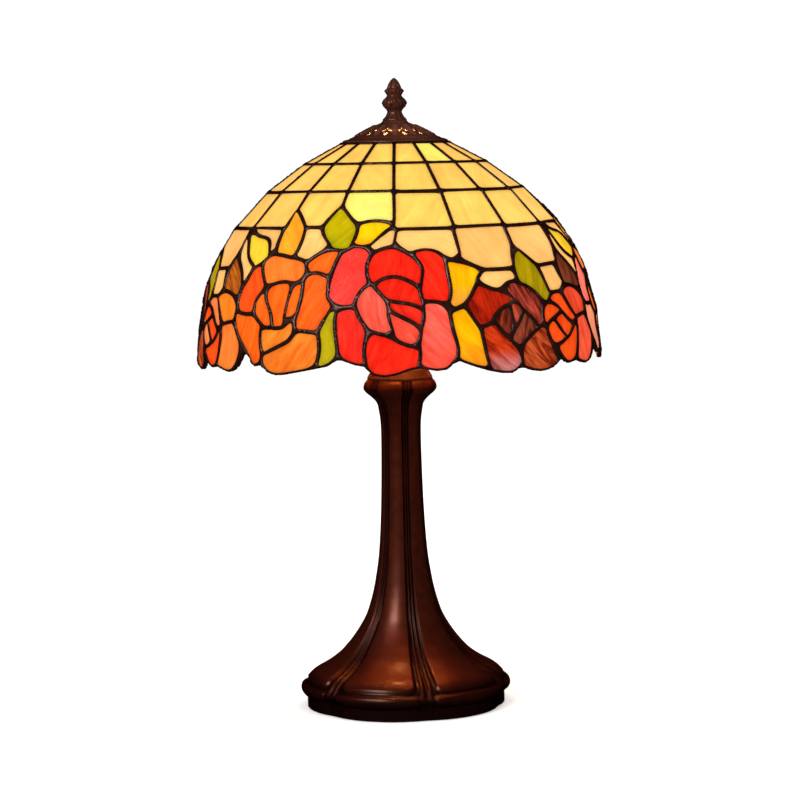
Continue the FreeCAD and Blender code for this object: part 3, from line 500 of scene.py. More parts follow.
def chaikin(points, sharp_reach):
    """Every corner cut once: a sharp one by sharp_reach, a gentle one by part of its shorter edge."""
    out = []
    count = len(points)
    for i in range(count):
        back = points[i - 1] - points[i]
        on = points[(i + 1) % count] - points[i]
        shorter = min(np.linalg.norm(back), np.linalg.norm(on))
        cosine = -(back @ on) / (np.linalg.norm(back) * np.linalg.norm(on))
        reach = 0.3 * shorter
        if cosine < math.cos(math.radians(48)):
            reach = min(reach, sharp_reach)
        out.append(points[i] + back / np.linalg.norm(back) * reach)
        out.append(points[i] + on / np.linalg.norm(on) * reach)
    return np.array(out)


def rounded_outline(corners):
    """A cut-glass outline: gentle bends become curves and sharp corners get a small radius."""
    points = corners
    for sharp_reach in (0.5, 0.25):
        points = chaikin(points, sharp_reach)
    return points


def resampled(loop, spacing):
    """Evenly spaced points round a closed loop."""
    closed = np.vstack([loop, loop[:1]])
    run = np.concatenate([[0], np.cumsum(np.linalg.norm(np.diff(closed, axis=0), axis=1))])
    count = max(8, int(round(run[-1] / spacing)))
    at = np.arange(count) * run[-1] / count
    return np.stack([np.interp(at, run, closed[:, i]) for i in range(3)], axis=1)


def read_panes(node):
    """The panes of a glass node, from the connected pieces of its mesh."""
    mesh = NODES[node].data
    points = np.array([v.co for v in mesh.vertices], float) / MM
    keys, inverse = np.unique(np.round(points * 1000).astype(np.int64), axis=0, return_inverse=True)
    inverse = inverse.ravel()
    merged = np.zeros((len(keys), 3))
    merged[inverse] = points
    faces = [[int(inverse[i]) for i in polygon.vertices] for polygon in mesh.polygons]
    parent = list(range(len(merged)))

    def root(i):
        while parent[i] != i:
            parent[i] = parent[parent[i]]
            i = parent[i]
        return i

    for face in faces:
        for other in face[1:]:
            parent[root(other)] = root(face[0])
    groups = {}
    for face in faces:
        groups.setdefault(root(face[0]), []).append(face)
    panes = [pane_of(merged, group) for _, group in sorted(groups.items())]
    number_panes(panes)
    return panes


def number_panes(panes):
    """Notes each pane's third of the shade, the front one first, and its place there from the left."""
    counts = [0, 0, 0]
    for pane in sorted(panes, key=lambda pane: near_start(pane.angle, THIRD_START, 360)):
        turned = near_start(pane.angle, THIRD_START, 360) - THIRD_START
        pane.third = int(turned // SHADE_THIRD)
        pane.place = counts[pane.third]
        counts[pane.third] += 1


def pane_of(points, faces):
    """The outer face's outline of one slab."""
    ids = sorted({i for face in faces for i in face})
    middle = points[ids].mean(axis=0)
    outward = middle - (0, 0, SHADE_LOW_Z)
    normals = []
    for face in faces:
        a, b, c = points[face[0]], points[face[1]], points[face[2]]
        normals.append(np.cross(b - a, c - a))
    biggest = max(normals, key=np.linalg.norm)
    normal = biggest / np.linalg.norm(biggest)
    if normal @ outward < 0:
        normal = -normal
    edges = {}
    for face, own in zip(faces, normals):
        if own @ normal > 0.9 * np.linalg.norm(own):
            for a, b in zip(face, face[1:] + face[:1]):
                edges[(a, b)] = True
    after = {a: b for a, b in edges if (b, a) not in edges}
    start = min(after)
    loop = [start]
    while after[loop[-1]] != start:
        loop.append(after[loop[-1]])
    return Pane(points[loop], normal)


# ---- leaded shade ----------------------------------------------------------------------
LINE_SPACING = 1.0
FIELD_SPACING = 1.3
RING_GAP = 0.5
LEAD_WIDTH = 3.1
ROW_LEAD_WIDTH = 2.7
HEM_LEAD_WIDTH = 1.8


def widen_panes(panes, hem_tree):
    """Moves each pane's outline out until the lead lines beside it are about their own width."""
    loops = [resampled(pane.outline, 0.9) for _, pane in panes]
    owners = np.concatenate([np.full(len(loop), i) for i, loop in enumerate(loops)])
    tree = point_tree(np.vstack(loops))
    for i, (node, pane) in enumerate(panes):
        width = ROW_LEAD_WIDTH if node.endswith("row") else LEAD_WIDTH
        loop = loops[i]
        growth = []
        for point in loop:
            others = [gap for _, j, gap in tree.find_n(point, 45) if owners[j] != i]
            room = (min(others, default=9.0) - width) / 2
            growth.append(min(room, hem_tree.find(point)[2] - HEM_LEAD_WIDTH))
        growth = np.clip(growth, 0, PANE_GROWTH_MAX)
        growth = sum(np.roll(growth, k) for k in (-2, -1, 0, 1, 2)) / 5
        into = loop - np.roll(loop, 1, axis=0)
        into /= np.linalg.norm(into, axis=1)[:, None]
        on = np.roll(into, -1, axis=0)
        side = np.cross(into + on, pane.normal)
        side /= np.linalg.norm(side, axis=1)[:, None]
        corner = np.sqrt(np.clip((1 + (into * on).sum(axis=1)) / 2, 0.35, 1))
        pane.outline = loop + side * (growth / corner)[:, None]


def edge_tree(form, hem):
    """The shade's two free edges: the scalloped hem and the rim at the top."""
    run = np.arange(hem[0, 0], hem[0, 0] + SHADE_THIRD, 0.15)
    closed = np.vstack([hem, hem[:1] + (SHADE_THIRD, 0)])
    low = form.place(run, np.interp(run, closed[:, 0], closed[:, 1]))
    high = form.place(run, np.full(len(run), form.levels[-1]))
    return point_tree(thirds_of(low)), point_tree(thirds_of(np.vstack([low, high])))


def hem_line(form):
    """The scalloped lower edge over one third, felt from outside on the CAD's leading."""
    trees = []
    for node in ["solder_web"] + GLASS_NODES:
        mesh = NODES[node].data
        trees.append(BVHTree.FromPolygons([v.co / MM for v in mesh.vertices],
                                          [tuple(p.vertices) for p in mesh.polygons]))
    line = []
    for angle in np.arange(0, SHADE_THIRD, 0.5):
        a = math.radians(angle + THIRD_START)
        outward = Vector((math.sin(a), -math.cos(a), 0))
        low, high = SHADE_HEM_Z - 2, 288.0
        for _ in range(13):
            z = (low + high) / 2
            start = outward * 200 + Vector((0, 0, z))
            hit = any(tree.ray_cast(start, -outward, 70)[0] is not None for tree in trees)
            low, high = (low, z) if hit else (z, high)
        line.append((angle + THIRD_START, np.interp(high, form.z, form.levels)))
    return np.array(line)


def unrolled(form, points, near):
    """(angle, level) of points, with angles kept within half a turn of near."""
    angle, level, offset = form.locate(points)
    angle = near_start(angle, near - 180, 360)
    return np.stack([angle, level], axis=1), offset


def ring_outside(form, loop, gap):
    """Points just outside a closed (angle, level) loop."""
    xy = loop * (math.pi / 180, 1)
    way = np.roll(xy, -1, axis=0) - np.roll(xy, 1, axis=0)
    way /= np.linalg.norm(way, axis=1)[:, None]
    area = (xy[:, 0] * np.roll(xy[:, 1], -1) - np.roll(xy[:, 0], -1) * xy[:, 1]).sum()
    side = np.stack([way[:, 1], -way[:, 0]], axis=1) * np.sign(area)
    moved = xy + side * (gap / form.radius(loop[:, 1]))[:, None]
    return moved * (180 / math.pi, 1)


def thirds_of(points):
    """Points with their copies one third round both ways."""
    out = [points]
    for k in (-1, 1):
        a = math.radians(SHADE_THIRD * k)
        turn = np.array([[math.cos(a), math.sin(a), 0], [-math.sin(a), math.cos(a), 0], [0, 0, 1]])
        out.append(points @ turn)
    return np.vstack(out)


class Leading:
    """Where the lead lines run and how high the glass beside them lies."""

    def __init__(self, form, panes, hem, hem_tree):
        self.form = form
        self.hem = hem
        self.hem_tree = hem_tree
        self.loops = []
        lines = []
        offsets = []
        for pane in panes:
            if not THIRD_START <= near_start(pane.angle, THIRD_START, 360) < THIRD_START + SHADE_THIRD:
                continue
            near = near_start(pane.angle, THIRD_START, 360)
            loop, _ = unrolled(form, resampled(pane.outline, LINE_SPACING), near)
            self.loops.append(loop)
            fine, offset = unrolled(form, resampled(pane.outline, 0.4), near)
            lines.append(form.at(fine))
            offsets.append(offset)
        self.glass_points = thirds_of(np.vstack(lines))
        self.glass_offsets = np.tile(np.concatenate(offsets), 3)
        self.glass_tree = point_tree(self.glass_points)

    def heights(self, xy):
        """For (angle, level) points: the distances to glass and hem, and the glass face's offset."""
        places = self.form.at(xy)
        gaps = []
        hems = []
        bases = []
        for p in places:
            found = self.glass_tree.find_n(p, 14)
            gaps.append(found[0][2])
            weights = np.array([1 / (f[2] ** 2 + 0.35) for f in found])
            bases.append((weights * self.glass_offsets[[f[1] for f in found]]).sum() / weights.sum())
            hems.append(self.hem_tree.find(p)[2])
        return np.array(gaps), np.array(hems), np.array(bases)


def rounded(distance, width):
    """A quarter-round rise from 0 at an edge to 1 at width and beyond."""
    x = 1 - np.clip(distance / width, 0, 1)
    return np.sqrt(1 - x * x)


def lumps(places, size, seed):
    return np.array([noise.noise(Vector(p) / size + Vector((seed, 0, 0))) for p in places])


def solder_web(form, leading, material):
    """The web of solder beads: rounded outside and in, following the panes' facets, with lumps along it."""
    top_angles = np.arange(THIRD_START, THIRD_START + SHADE_THIRD, 1.5)
    top = np.stack([top_angles, np.full(len(top_angles), form.levels[-1])], axis=1)
    rings = []
    for loop in leading.loops:
        ring = ring_outside(form, loop, RING_GAP)
        for point, place in zip(ring, form.at(ring)):
            if leading.glass_tree.find(place)[2] > 0.8 * RING_GAP and leading.hem_tree.find(place)[2] > 0.45:
                rings.append(point)
    rings = np.array(rings)
    every_line = point_tree(np.vstack([leading.glass_points, thirds_of(form.at(rings))]))
    sides = []
    for spacing, extra in ((FIELD_SPACING, rings), (2.1, None)):
        low = leading.hem[:, 1].min()
        field = free_points(form, low, form.levels[-1] - 0.006, SHADE_THIRD, spacing, every_line,
                            0.75 if extra is not None else 1.1)
        field[:, 0] = near_start(field[:, 0], THIRD_START, SHADE_THIRD)
        places = form.at(field)
        hem_at = np.interp(field[:, 0], leading.hem[:, 0], leading.hem[:, 1])
        clear = np.array([leading.hem_tree.find(p)[2] for p in places]) > 0.5
        field = field[clear & (field[:, 1] > hem_at)]
        spare = field if extra is None else np.vstack([extra, field])
        xy, triangles = tiled(THIRD_START, SHADE_THIRD, leading.loops, leading.hem, top, spare)
        gap, hem, base = leading.heights(xy)
        xy_all, faces, keys, source = round_form(xy, triangles, SHADE_THIRD)
        sides.append((xy_all, faces, keys, gap[source], hem[source], base[source]))
    points = []
    triangles = []
    for inner, (xy, faces, keys, gap, hem, base) in enumerate(sides):
        across = rounded(gap, BEAD_HALF_WIDTH)
        rise = -BEAD_SINK + (BEAD_RISE + BEAD_SINK) * across
        edge = -1.05 + (BEAD_RISE + 1.05) * rounded(hem, 1.6)
        rise = np.minimum(rise, edge)
        places = form.at(xy)
        rise = rise + across * (0.18 * lumps(places, 5.0, 3.0) + 0.08 * lumps(places, 1.9, 9.0))
        offset = base - GLASS_T - rise if inner else base + rise
        points.append(form.at(xy, offset))
        triangles.append(faces[:, ::-1] if inner else faces)
    outer_faces, outer_keys = sides[0][1:3]
    inner_index = {tuple(key): i + len(points[0]) for i, key in enumerate(sides[1][2].tolist())}
    walls = []
    for a, b in border_edges(outer_faces):
        far_a = inner_index[tuple(outer_keys[a].tolist())]
        far_b = inner_index[tuple(outer_keys[b].tolist())]
        walls.append((b, a, far_a, far_b))
    faces = triangles[0].tolist() + (triangles[1] + len(points[0])).tolist() + walls
    web = make_object("lead_web", np.vstack(points), faces, "shade", material)
    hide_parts("solder_web")


# tones of the glass as (deep, light) screen colours
CREAM = ((254, 188, 84), (255, 215, 98))
TONES = {
    "cream_upper_row": CREAM,
    "cream_middle_row": CREAM,
    "cream_lower_row": CREAM,
    "cream_fill_panes": ((250, 176, 90), (255, 202, 118)),
    "red_rose_petals": ((234, 18, 8), (255, 50, 27)),
    "orange_rose_petals": ((246, 84, 8), (255, 118, 34)),
    "brown_rose_petals": ((130, 28, 6), (188, 62, 30)),
    "small_rose_petals": ((240, 62, 12), (255, 92, 26)),
    "green_leaves": ((164, 146, 2), (210, 186, 8)),
    "amber_leaves": ((250, 146, 2), (255, 200, 6)),
    "yellow_leaves": ((236, 182, 34), (252, 214, 60)),
    "orange_leaves": ((246, 140, 26), (255, 176, 46)),
    "brown_leaves": ((118, 50, 16), (200, 104, 24)),
    "olive_leaves": ((168, 150, 8), (204, 184, 20)),
}
# panes that stand out in every third: (deep, light) colours by the pane's place in its third, from the left
SPECIAL_PANES = {
    "red_rose_petals": {
        2: ((236, 62, 44), (255, 116, 96)),
        6: ((230, 50, 32), (255, 98, 76)),
        7: ((222, 26, 14), (255, 56, 38)),
        9: ((236, 64, 50), (255, 110, 92)),
    },
    "orange_rose_petals": {
        0: ((242, 62, 16), (255, 96, 28)),
        3: ((246, 104, 30), (255, 138, 52)),
        5: ((248, 112, 26), (255, 150, 50)),
        7: ((244, 100, 18), (255, 150, 52)),
        8: ((240, 70, 10), (255, 112, 24)),
    },
    "brown_rose_petals": {
        0: ((112, 14, 2), (196, 38, 10)),
        1: ((138, 22, 6), (224, 66, 20)),
        2: ((64, 14, 6), (146, 56, 34)),
        3: ((150, 44, 26), (206, 86, 58)),
        4: ((80, 26, 14), (164, 74, 50)),
        5: ((84, 20, 10), (196, 74, 56)),
        6: ((118, 30, 8), (218, 92, 44)),
    },
    "amber_leaves": {0: ((254, 176, 0), (255, 212, 16))},
    "green_leaves": {1: ((140, 116, 2), (196, 166, 8))},
}
# panes that stand out only where they are, by third (front, right, left) and place in it
FRONT, RIGHT, LEFT = 0, 1, 2
SINGLE_PANES = {
    # These two cream panes are lighter as a painted hot spot of the bulb's light through the glass.
    "cream_lower_row": {(FRONT, 2): ((255, 228, 98), (255, 242, 122))},
    "cream_upper_row": {(FRONT, 4): ((254, 228, 92), (254, 242, 116))},
    "brown_leaves": {(RIGHT, 0): ((72, 26, 14), (124, 60, 34))},
    "small_rose_petals": {
        (FRONT, 0): ((248, 112, 20), (255, 150, 46)),
        (FRONT, 1): ((246, 104, 28), (255, 142, 62)),
        (LEFT, 5): ((240, 108, 50), (255, 142, 84)),
        (LEFT, 3): ((244, 116, 60), (255, 146, 92)),
        (RIGHT, 0): ((206, 52, 26), (244, 88, 54)),
        (RIGHT, 1): ((222, 56, 30), (255, 104, 70)),
    },
    "orange_rose_petals": {
        (RIGHT, 0): ((236, 92, 76), (255, 132, 112)),
        (RIGHT, 1): ((240, 126, 88), (255, 162, 122)),
    },
}
# glass whose colour changes towards the foot of the pane: the colours there, by place in the third
FOOT_TONES = {
    "brown_rose_petals": {1: ((150, 70, 64), (206, 122, 116))},
    "amber_leaves": {
        0: ((252, 150, 4), (255, 178, 20)),
        1: ((248, 150, 20), (255, 182, 70)),
        2: ((246, 132, 6), (255, 168, 30)),
    },
    "red_rose_petals": {9: ((244, 44, 30), (255, 90, 70))},
    "green_leaves": {0: ((150, 140, 4), (190, 176, 10))},
}


def linear_pair(pair):
    """The deep and light linear colours of a pair of screen colours."""
    return [np.array(lin(*colour)) for colour in pair]


def pane_tones(node, pane):
    """Deep and light linear colours of one pane, at its head and at its foot."""
    everywhere = SPECIAL_PANES.get(node, {}).get(pane.place, TONES[node])
    head = SINGLE_PANES.get(node, {}).get((pane.third, pane.place), everywhere)
    foot = FOOT_TONES.get(node, {}).get(pane.place, head)
    return linear_pair(head), linear_pair(foot)


def pane_mesh(pane, grain, parts):
    """Adds one slab of glass to parts: two faintly rippled faces joined round the edge."""
    across = np.cross((0, 0, 1), pane.normal)
    across /= np.linalg.norm(across)
    up = np.cross(pane.normal, across)
    loop = resampled(pane.outline, 1.25)
    flat = np.stack([(loop - pane.middle) @ across, (loop - pane.middle) @ up], axis=1)
    way = np.roll(flat, -1, axis=0) - np.roll(flat, 1, axis=0)
    way /= np.linalg.norm(way, axis=1)[:, None]
    border = flat + np.stack([way[:, 1], -way[:, 0]], axis=1) * GLASS_UNDER_LEAD
    tree = point_tree(np.column_stack([flat, np.zeros(len(flat))]))
    low, high = flat.min(axis=0), flat.max(axis=0)
    inside = []
    pitch = 3.0
    for row, y in enumerate(np.arange(low[1], high[1], pitch * 0.87)):
        for x in np.arange(low[0] + pitch / 2 * (row % 2), high[0], pitch):
            if tree.find((x, y, 0))[2] > 1.1:
                inside.append((x, y))
    count = len(border)
    xy = [Vector(p) for p in border.tolist() + inside]
    sides = [(i, (i + 1) % count) for i in range(count)]
    out = delaunay_2d_cdt(xy, sides, [list(range(count))], 0, 1e-6, True)
    enclosed = [face for face, sources in zip(out[2], out[5]) if sources]
    used = sorted({i for face in enclosed for i in face})
    renumber = {old: new for new, old in enumerate(used)}
    plane = np.array([tuple(v) for v in out[0]])[used]
    faces = [[renumber[i] for i in face] for face in enclosed]
    rim = np.array([tree.find((x, y, 0))[2] for x, y in plane])
    border_ids = {renumber[i] for i, ids in enumerate(out[3])
                  if i in renumber and any(j < count for j in ids)}
    rim = np.array([0.0 if i in border_ids else d for i, d in enumerate(rim)])
    places = pane.middle + plane[:, :1] * across + plane[:, 1:] * up
    seed = pane.angle * 0.37 + pane.height * 0.11
    ripple = 0.1 * lumps(places, 11.0, seed)
    outer = places + ripple[:, None] * pane.normal
    inner = places - (GLASS_T + ripple[:, None]) * pane.normal
    turn = math.radians(grain)
    flow = np.stack([plane[:, 0] * math.cos(turn) + plane[:, 1] * math.sin(turn),
                     plane[:, 1] * math.cos(turn) - plane[:, 0] * math.sin(turn),
                     np.full(len(plane), seed * 13.0)], axis=1) * MM
    first = sum(len(p) for p in parts["points"])
    half = len(plane)
    parts["points"] += [outer, inner]
    for face in faces:
        parts["faces"].append([first + i for i in face])
        parts["faces"].append([first + half + i for i in reversed(face)])
    for a, b in border_edges(np.array(faces)):
        parts["faces"].append([first + b, first + a, first + half + a, first + half + b])
    parts["flow"] += [flow, flow]
    return places, rim


def glass_piece(node, panes, material):
    """All panes of one CAD node as one piece, each with its own tones, grain and painted glow."""
    parts = {"points": [], "faces": [], "flow": []}
    tone_a = []
    tone_b = []
    glow = []
    for pane in panes:
        (deep, light), foot = pane_tones(node, pane)
        seed = noise.cell(Vector((pane.angle * 0.9, pane.height * 0.3, 4.0)))
        wobble = noise.cell(Vector((pane.angle * 1.3, pane.height * 0.7, 11.0)))
        grain = GRAIN[node] + 35 * seed
        places, rim = pane_mesh(pane, grain, parts)
        # Painted light: the cream panes' light tone turns peach away from the front, a painted fall-off of
        # the glow towards the sides.
        if node.startswith("cream"):
            aside = min(1.0, abs(pane.angle) / 80) ** 2
            foot = (foot[0], foot[1] + (np.array(lin(255, 190, 116)) - foot[1]) * aside)
            light = foot[1]
        level = 1 + 0.04 * wobble
        span = places[:, 2].max() - places[:, 2].min()
        down = smooth_step((places[:, 2].max() - places[:, 2]) / span * 2.6 - 1.3)[:, None]
        deeps = deep + (foot[0] - deep) * down
        lights = light + (foot[1] - light) * down
        # Painted light: the glow fades away from the bulb's height, and glass within 2.6 mm of the lead is
        # darkened as painted shade of the solder.
        painted_bulb_falloff = 1.06 - 0.16 * np.clip(np.abs(places[:, 2] - BULB_Z) / 95, 0, 1) ** 1.4
        painted_glow = level * painted_bulb_falloff * (0.62 + 0.38 * smooth_step(rim / 2.6))
        for _ in range(2):
            tone_a.append(deeps * (1 + 0.05 * seed))
            tone_b.append(lights * (1 + 0.04 * wobble))
            glow.append(painted_glow)
    piece = make_object(node + "_glass", np.vstack(parts["points"]), parts["faces"], "shade", material)
    add_colours(piece, "tone_a", np.clip(np.vstack(tone_a), 0, 1))
    add_colours(piece, "tone_b", np.clip(np.vstack(tone_b), 0, 1))
    add_vectors(piece, "flow", np.vstack(parts["flow"]))
    add_floats(piece, "glow", np.concatenate(glow))
    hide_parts(node)


# direction of each glass's grain, degrees from upright
GRAIN = {
    "cream_upper_row": 0, "cream_middle_row": 0, "cream_lower_row": 0, "cream_fill_panes": 20,
    "red_rose_petals": 15, "orange_rose_petals": -10, "brown_rose_petals": 20, "small_rose_petals": 10,
    "green_leaves": -20, "amber_leaves": 10, "yellow_leaves": 30, "orange_leaves": 0, "brown_leaves": 25,
    "olive_leaves": 0,
}


def build_shade():
    form = dome_form()
    panes = {node: read_panes(node) for node in GLASS_NODES}
    every_pane = [(node, pane) for node in GLASS_NODES for pane in panes[node]]
    hem = hem_line(form)
    hem_tree, edges = edge_tree(form, hem)
    widen_panes(every_pane, edges)
    calm = glass_material("opal_cream_glass", 80.0, 0.18, 0.18)
    streaky = glass_material("streaky_petal_glass", 150.0, 0.17, 0.3)
    bold = glass_material("bold_streaked_glass", 130.0, 0.09, 0.3)
    wispy = glass_material("wispy_leaf_glass", 110.0, 0.2, 0.25)
    for node in GLASS_NODES:
        if node.startswith("cream"):
            finish = calm
        elif node.startswith("brown"):
            finish = bold
        elif node.endswith("petals"):
            finish = streaky
        else:
            finish = wispy
        glass_piece(node, panes[node], finish)
    leading = Leading(form, [pane for _, pane in every_pane], hem, hem_tree)
    solder_web(form, leading, solder_material())


# ---- base casting ----------------------------------------------------------------------
BASE_ROLL = [(75.8, 0.5), (75.8, 9.0), (77.5, 9.8), (79.3, 11.6), (80.3, 13.6), (80.5, 15.6), (79.8, 18.0),
             (78.0, 20.0)]
BASE_FLARE = [(78.0, 20.0), (74.0, 24.7), (69.0, 29.0), (60.0, 34.0), (54.0, 38.0), (49.0, 42.0),
              (44.4, 47.0), (40.2, 52.0), (34.0, 61.0), (29.1, 70.0), (25.7, 80.0), (23.3, 89.0),
              (21.5, 98.0), (18.8, 116.0), (16.8, 144.0), (15.6, 180.0), (15.3, 213.0), (16.8, 227.0),
              (18.2, 232.0), (21.7, 236.0), (26.4, 240.0), (28.0, 243.0), (27.0, 247.0), (25.2, 249.2),
              (24.6, 250.0)]
BASE_INSIDE = [(5.3, 250.0), (5.3, 80.0), (20.5, 80.0), (26.0, 64.0), (34.0, 51.0), (44.0, 38.0),
               (55.0, 29.5), (66.0, 22.0), (71.4, 12.0), (71.4, 0.5)]
PANEL_CORNER_R = 8.0


def base_relief(run, r, strap_arc, lip_run):
    """Height of the casting's relief at a run along its outline: panels, double-bead straps and roll.

    strap_arc is the distance from the nearest strap's middle and lip_run the run of the panels' lower edge.
    Returns the height and how far out of the recesses the surface is, from 0 to 1.
    """
    depth = 0.75 + 0.9 * smooth_step((r - 16) / 30)
    width = 2.2 + (r - 15.5) * 0.085
    q = strap_arc / width
    up = run - lip_run
    aside = strap_arc - width * 1.04
    corner = np.minimum(PANEL_CORNER_R, width * 1.4)
    near_corner = (aside < corner) & (up < corner)
    inset = np.where(near_corner, corner - np.hypot(corner - aside, corner - up), np.minimum(aside, up))
    inset = np.where((aside < 0) | (up < 0), np.minimum(inset, np.minimum(aside, up)), inset)
    panel = smooth_step(inset / (0.5 + 0.022 * r))
    bead = 0.82 * np.clip(1 - ((q - 0.42) / 0.27) ** 2, 0, 1) ** 0.5
    roll = smooth_step((-up - 1.0) / 2.6)
    strap_on_roll = smooth_step((q - 0.75) / 0.4)
    roll = roll * (0.35 + 0.65 * strap_on_roll)
    bead = bead * np.where(up < 0, 1 - 0.35 * smooth_step(-up / 8), 1)
    top = np.maximum(np.maximum(panel, bead), roll)
    return depth * (top - 1), top


def base_lobes(r, strap_turn):
    """How far the outline draws in towards a strap, in mm."""
    return (0.25 + 0.03 * (r - 15)) * np.exp(-(strap_turn / 13.0) ** 2)


def base_angles():
    """Angles round the base, close together at the straps."""
    fine = np.concatenate([np.linspace(-11.5, 11.5, 34), np.linspace(13.5, 46.5, 12)])
    return np.concatenate([fine + STRAP_FIRST_ANGLE + STRAP_STEP * k for k in range(6)])


def lathe_faces(rows, columns):
    """Quads of a closed grid: rows wrap too."""
    faces = []
    for i in range(rows):
        for j in range(columns):
            a = i * columns + j
            b = i * columns + (j + 1) % columns
            c = (i + 1) % rows * columns + (j + 1) % columns
            d = (i + 1) % rows * columns + j
            faces.append((a, b, c, d))
    return faces


def lathe_object(name, radius, z, inside, angles, body, material):
    """A bronze object from a grid of radii and heights, closed by a plain inside outline."""
    inside = np.array(inside)
    count = len(angles)
    radius = np.vstack([radius, np.repeat(inside[:, :1], count, axis=1)])
    z = np.vstack([z, np.repeat(inside[:, 1:], count, axis=1)])
    a = angles[None]
    points = np.stack([radius * np.sin(a), -radius * np.cos(a), z], axis=2).reshape(-1, 3)
    return make_object(name, points, lathe_faces(len(radius), count), body, material)


def build_base(material):
    """The cast base: flared lobes with raised panels, double-bead straps, torus roll and plinth."""
    lower = catmull(BASE_ROLL[2:], 1.3)
    upper = catmull(BASE_FLARE, 1.5)[1:]
    plinth = catmull(BASE_ROLL[:2], 2.2)
    outline = np.vstack([plinth, lower, upper])
    run = np.concatenate([[0], np.cumsum(np.linalg.norm(np.diff(outline, axis=0), axis=1))])
    lip_run = run[len(plinth) + len(lower) - 1] + 2.2
    slope = np.gradient(outline, axis=0)
    slope /= np.linalg.norm(slope, axis=1)[:, None]
    angles = base_angles()
    turn = (angles - STRAP_FIRST_ANGLE + STRAP_STEP / 2) % STRAP_STEP - STRAP_STEP / 2
    r = outline[:, :1]
    arc = np.radians(np.abs(turn))[None] * r
    height, top = base_relief(run[:, None], r, arc, lip_run)
    fade = smooth_step(run / 6)[:, None] * smooth_step((run[-1] - run) / 2.5)[:, None]
    height = height * (0.35 + 0.65 * fade) - base_lobes(r, turn[None])
    radius = r + height * slope[:, 1:]
    z = outline[:, 1:] - height * slope[:, :1] * fade
    base = lathe_object("cast_base", radius, z, BASE_INSIDE, np.radians(angles), "stand", material)
    # Painted shade: the relief value is turned down over the lowest 30 mm, so the finish darkens the plinth
    # and roll.
    relief_with_painted_shade = top * (0.12 + 0.88 * smooth_step((outline[:, 1:] - 8) / 22))
    relief = np.vstack([relief_with_painted_shade, np.full((len(BASE_INSIDE), len(angles)), 0.5)])
    add_floats(base, "relief", relief.ravel())
    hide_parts("base_casting")


# ---- pierced cap and finial ------------------------------------------------------------
CAP_PERIOD = 30.0
CAP_OUTLINE = [(40.0, 428.9), (40.0, 429.6), (39.2, 430.3), (37.6, 430.9), (35.0, 431.5), (33.3, 432.2),
               (30.6, 433.7), (28.0, 435.0), (22.0, 438.2), (15.8, 441.2), (10.6, 443.4), (9.4, 444.7),
               (8.6, 445.0), (3.8, 445.0)]
CAP_WALL = 1.3
# slits of the filigree: angle and radius of the middle, half length, half width and lean in degrees
CAP_SLITS = [(15.0, 27.2, 3.1, 1.6, 0), (9.4, 22.6, 2.6, 1.15, 26), (20.6, 22.6, 2.6, 1.15, -26),
             (15.0, 19.6, 1.8, 0.9, 0)]


def leaf_loop(form, slit):
    """The (angle, level) outline of a pointed slit."""
    angle, radius, length, width, lean = slit
    level = float(np.interp(-radius, -form.r, form.levels))
    loop = []
    for t in np.linspace(0, 2 * math.pi, 20, endpoint=False):
        along = length * math.cos(t)
        side = width * math.sin(t) * (0.45 + 0.55 * abs(math.sin(t)))
        turn = math.radians(lean)
        x = side * math.cos(turn) + along * math.sin(turn)
        y = along * math.cos(turn) - side * math.sin(turn)
        loop.append((angle + math.degrees(x / radius), level + y / radius))
    return np.array(loop)


def cap_relief(angle, radius):
    """Embossed pattern: a ring of leaves with midribs between a plain rim and a plain top."""
    turn = np.radians(near_start(angle, -CAP_PERIOD / 2, CAP_PERIOD))
    arc = turn * radius
    zone = smooth_step((radius - 13.5) / 2.5) * smooth_step((31.5 - radius) / 2.0)
    half = 3.6 * np.sqrt(np.clip(1 - ((radius - 22.5) / 8.2) ** 2, 0, 1))
    leaf = smooth_step((half - np.abs(arc)) / 1.1)
    rib = np.exp(-(arc / 0.45) ** 2)
    veins = 0.5 + 0.5 * np.cos((radius * 1.0 + np.abs(arc) * 1.3) * 2.6)
    bead = np.exp(-((radius - 33.6) / 0.9) ** 2)
    return zone * (leaf * (0.75 + 0.2 * rib + 0.15 * veins) - 0.1) + 0.35 * bead


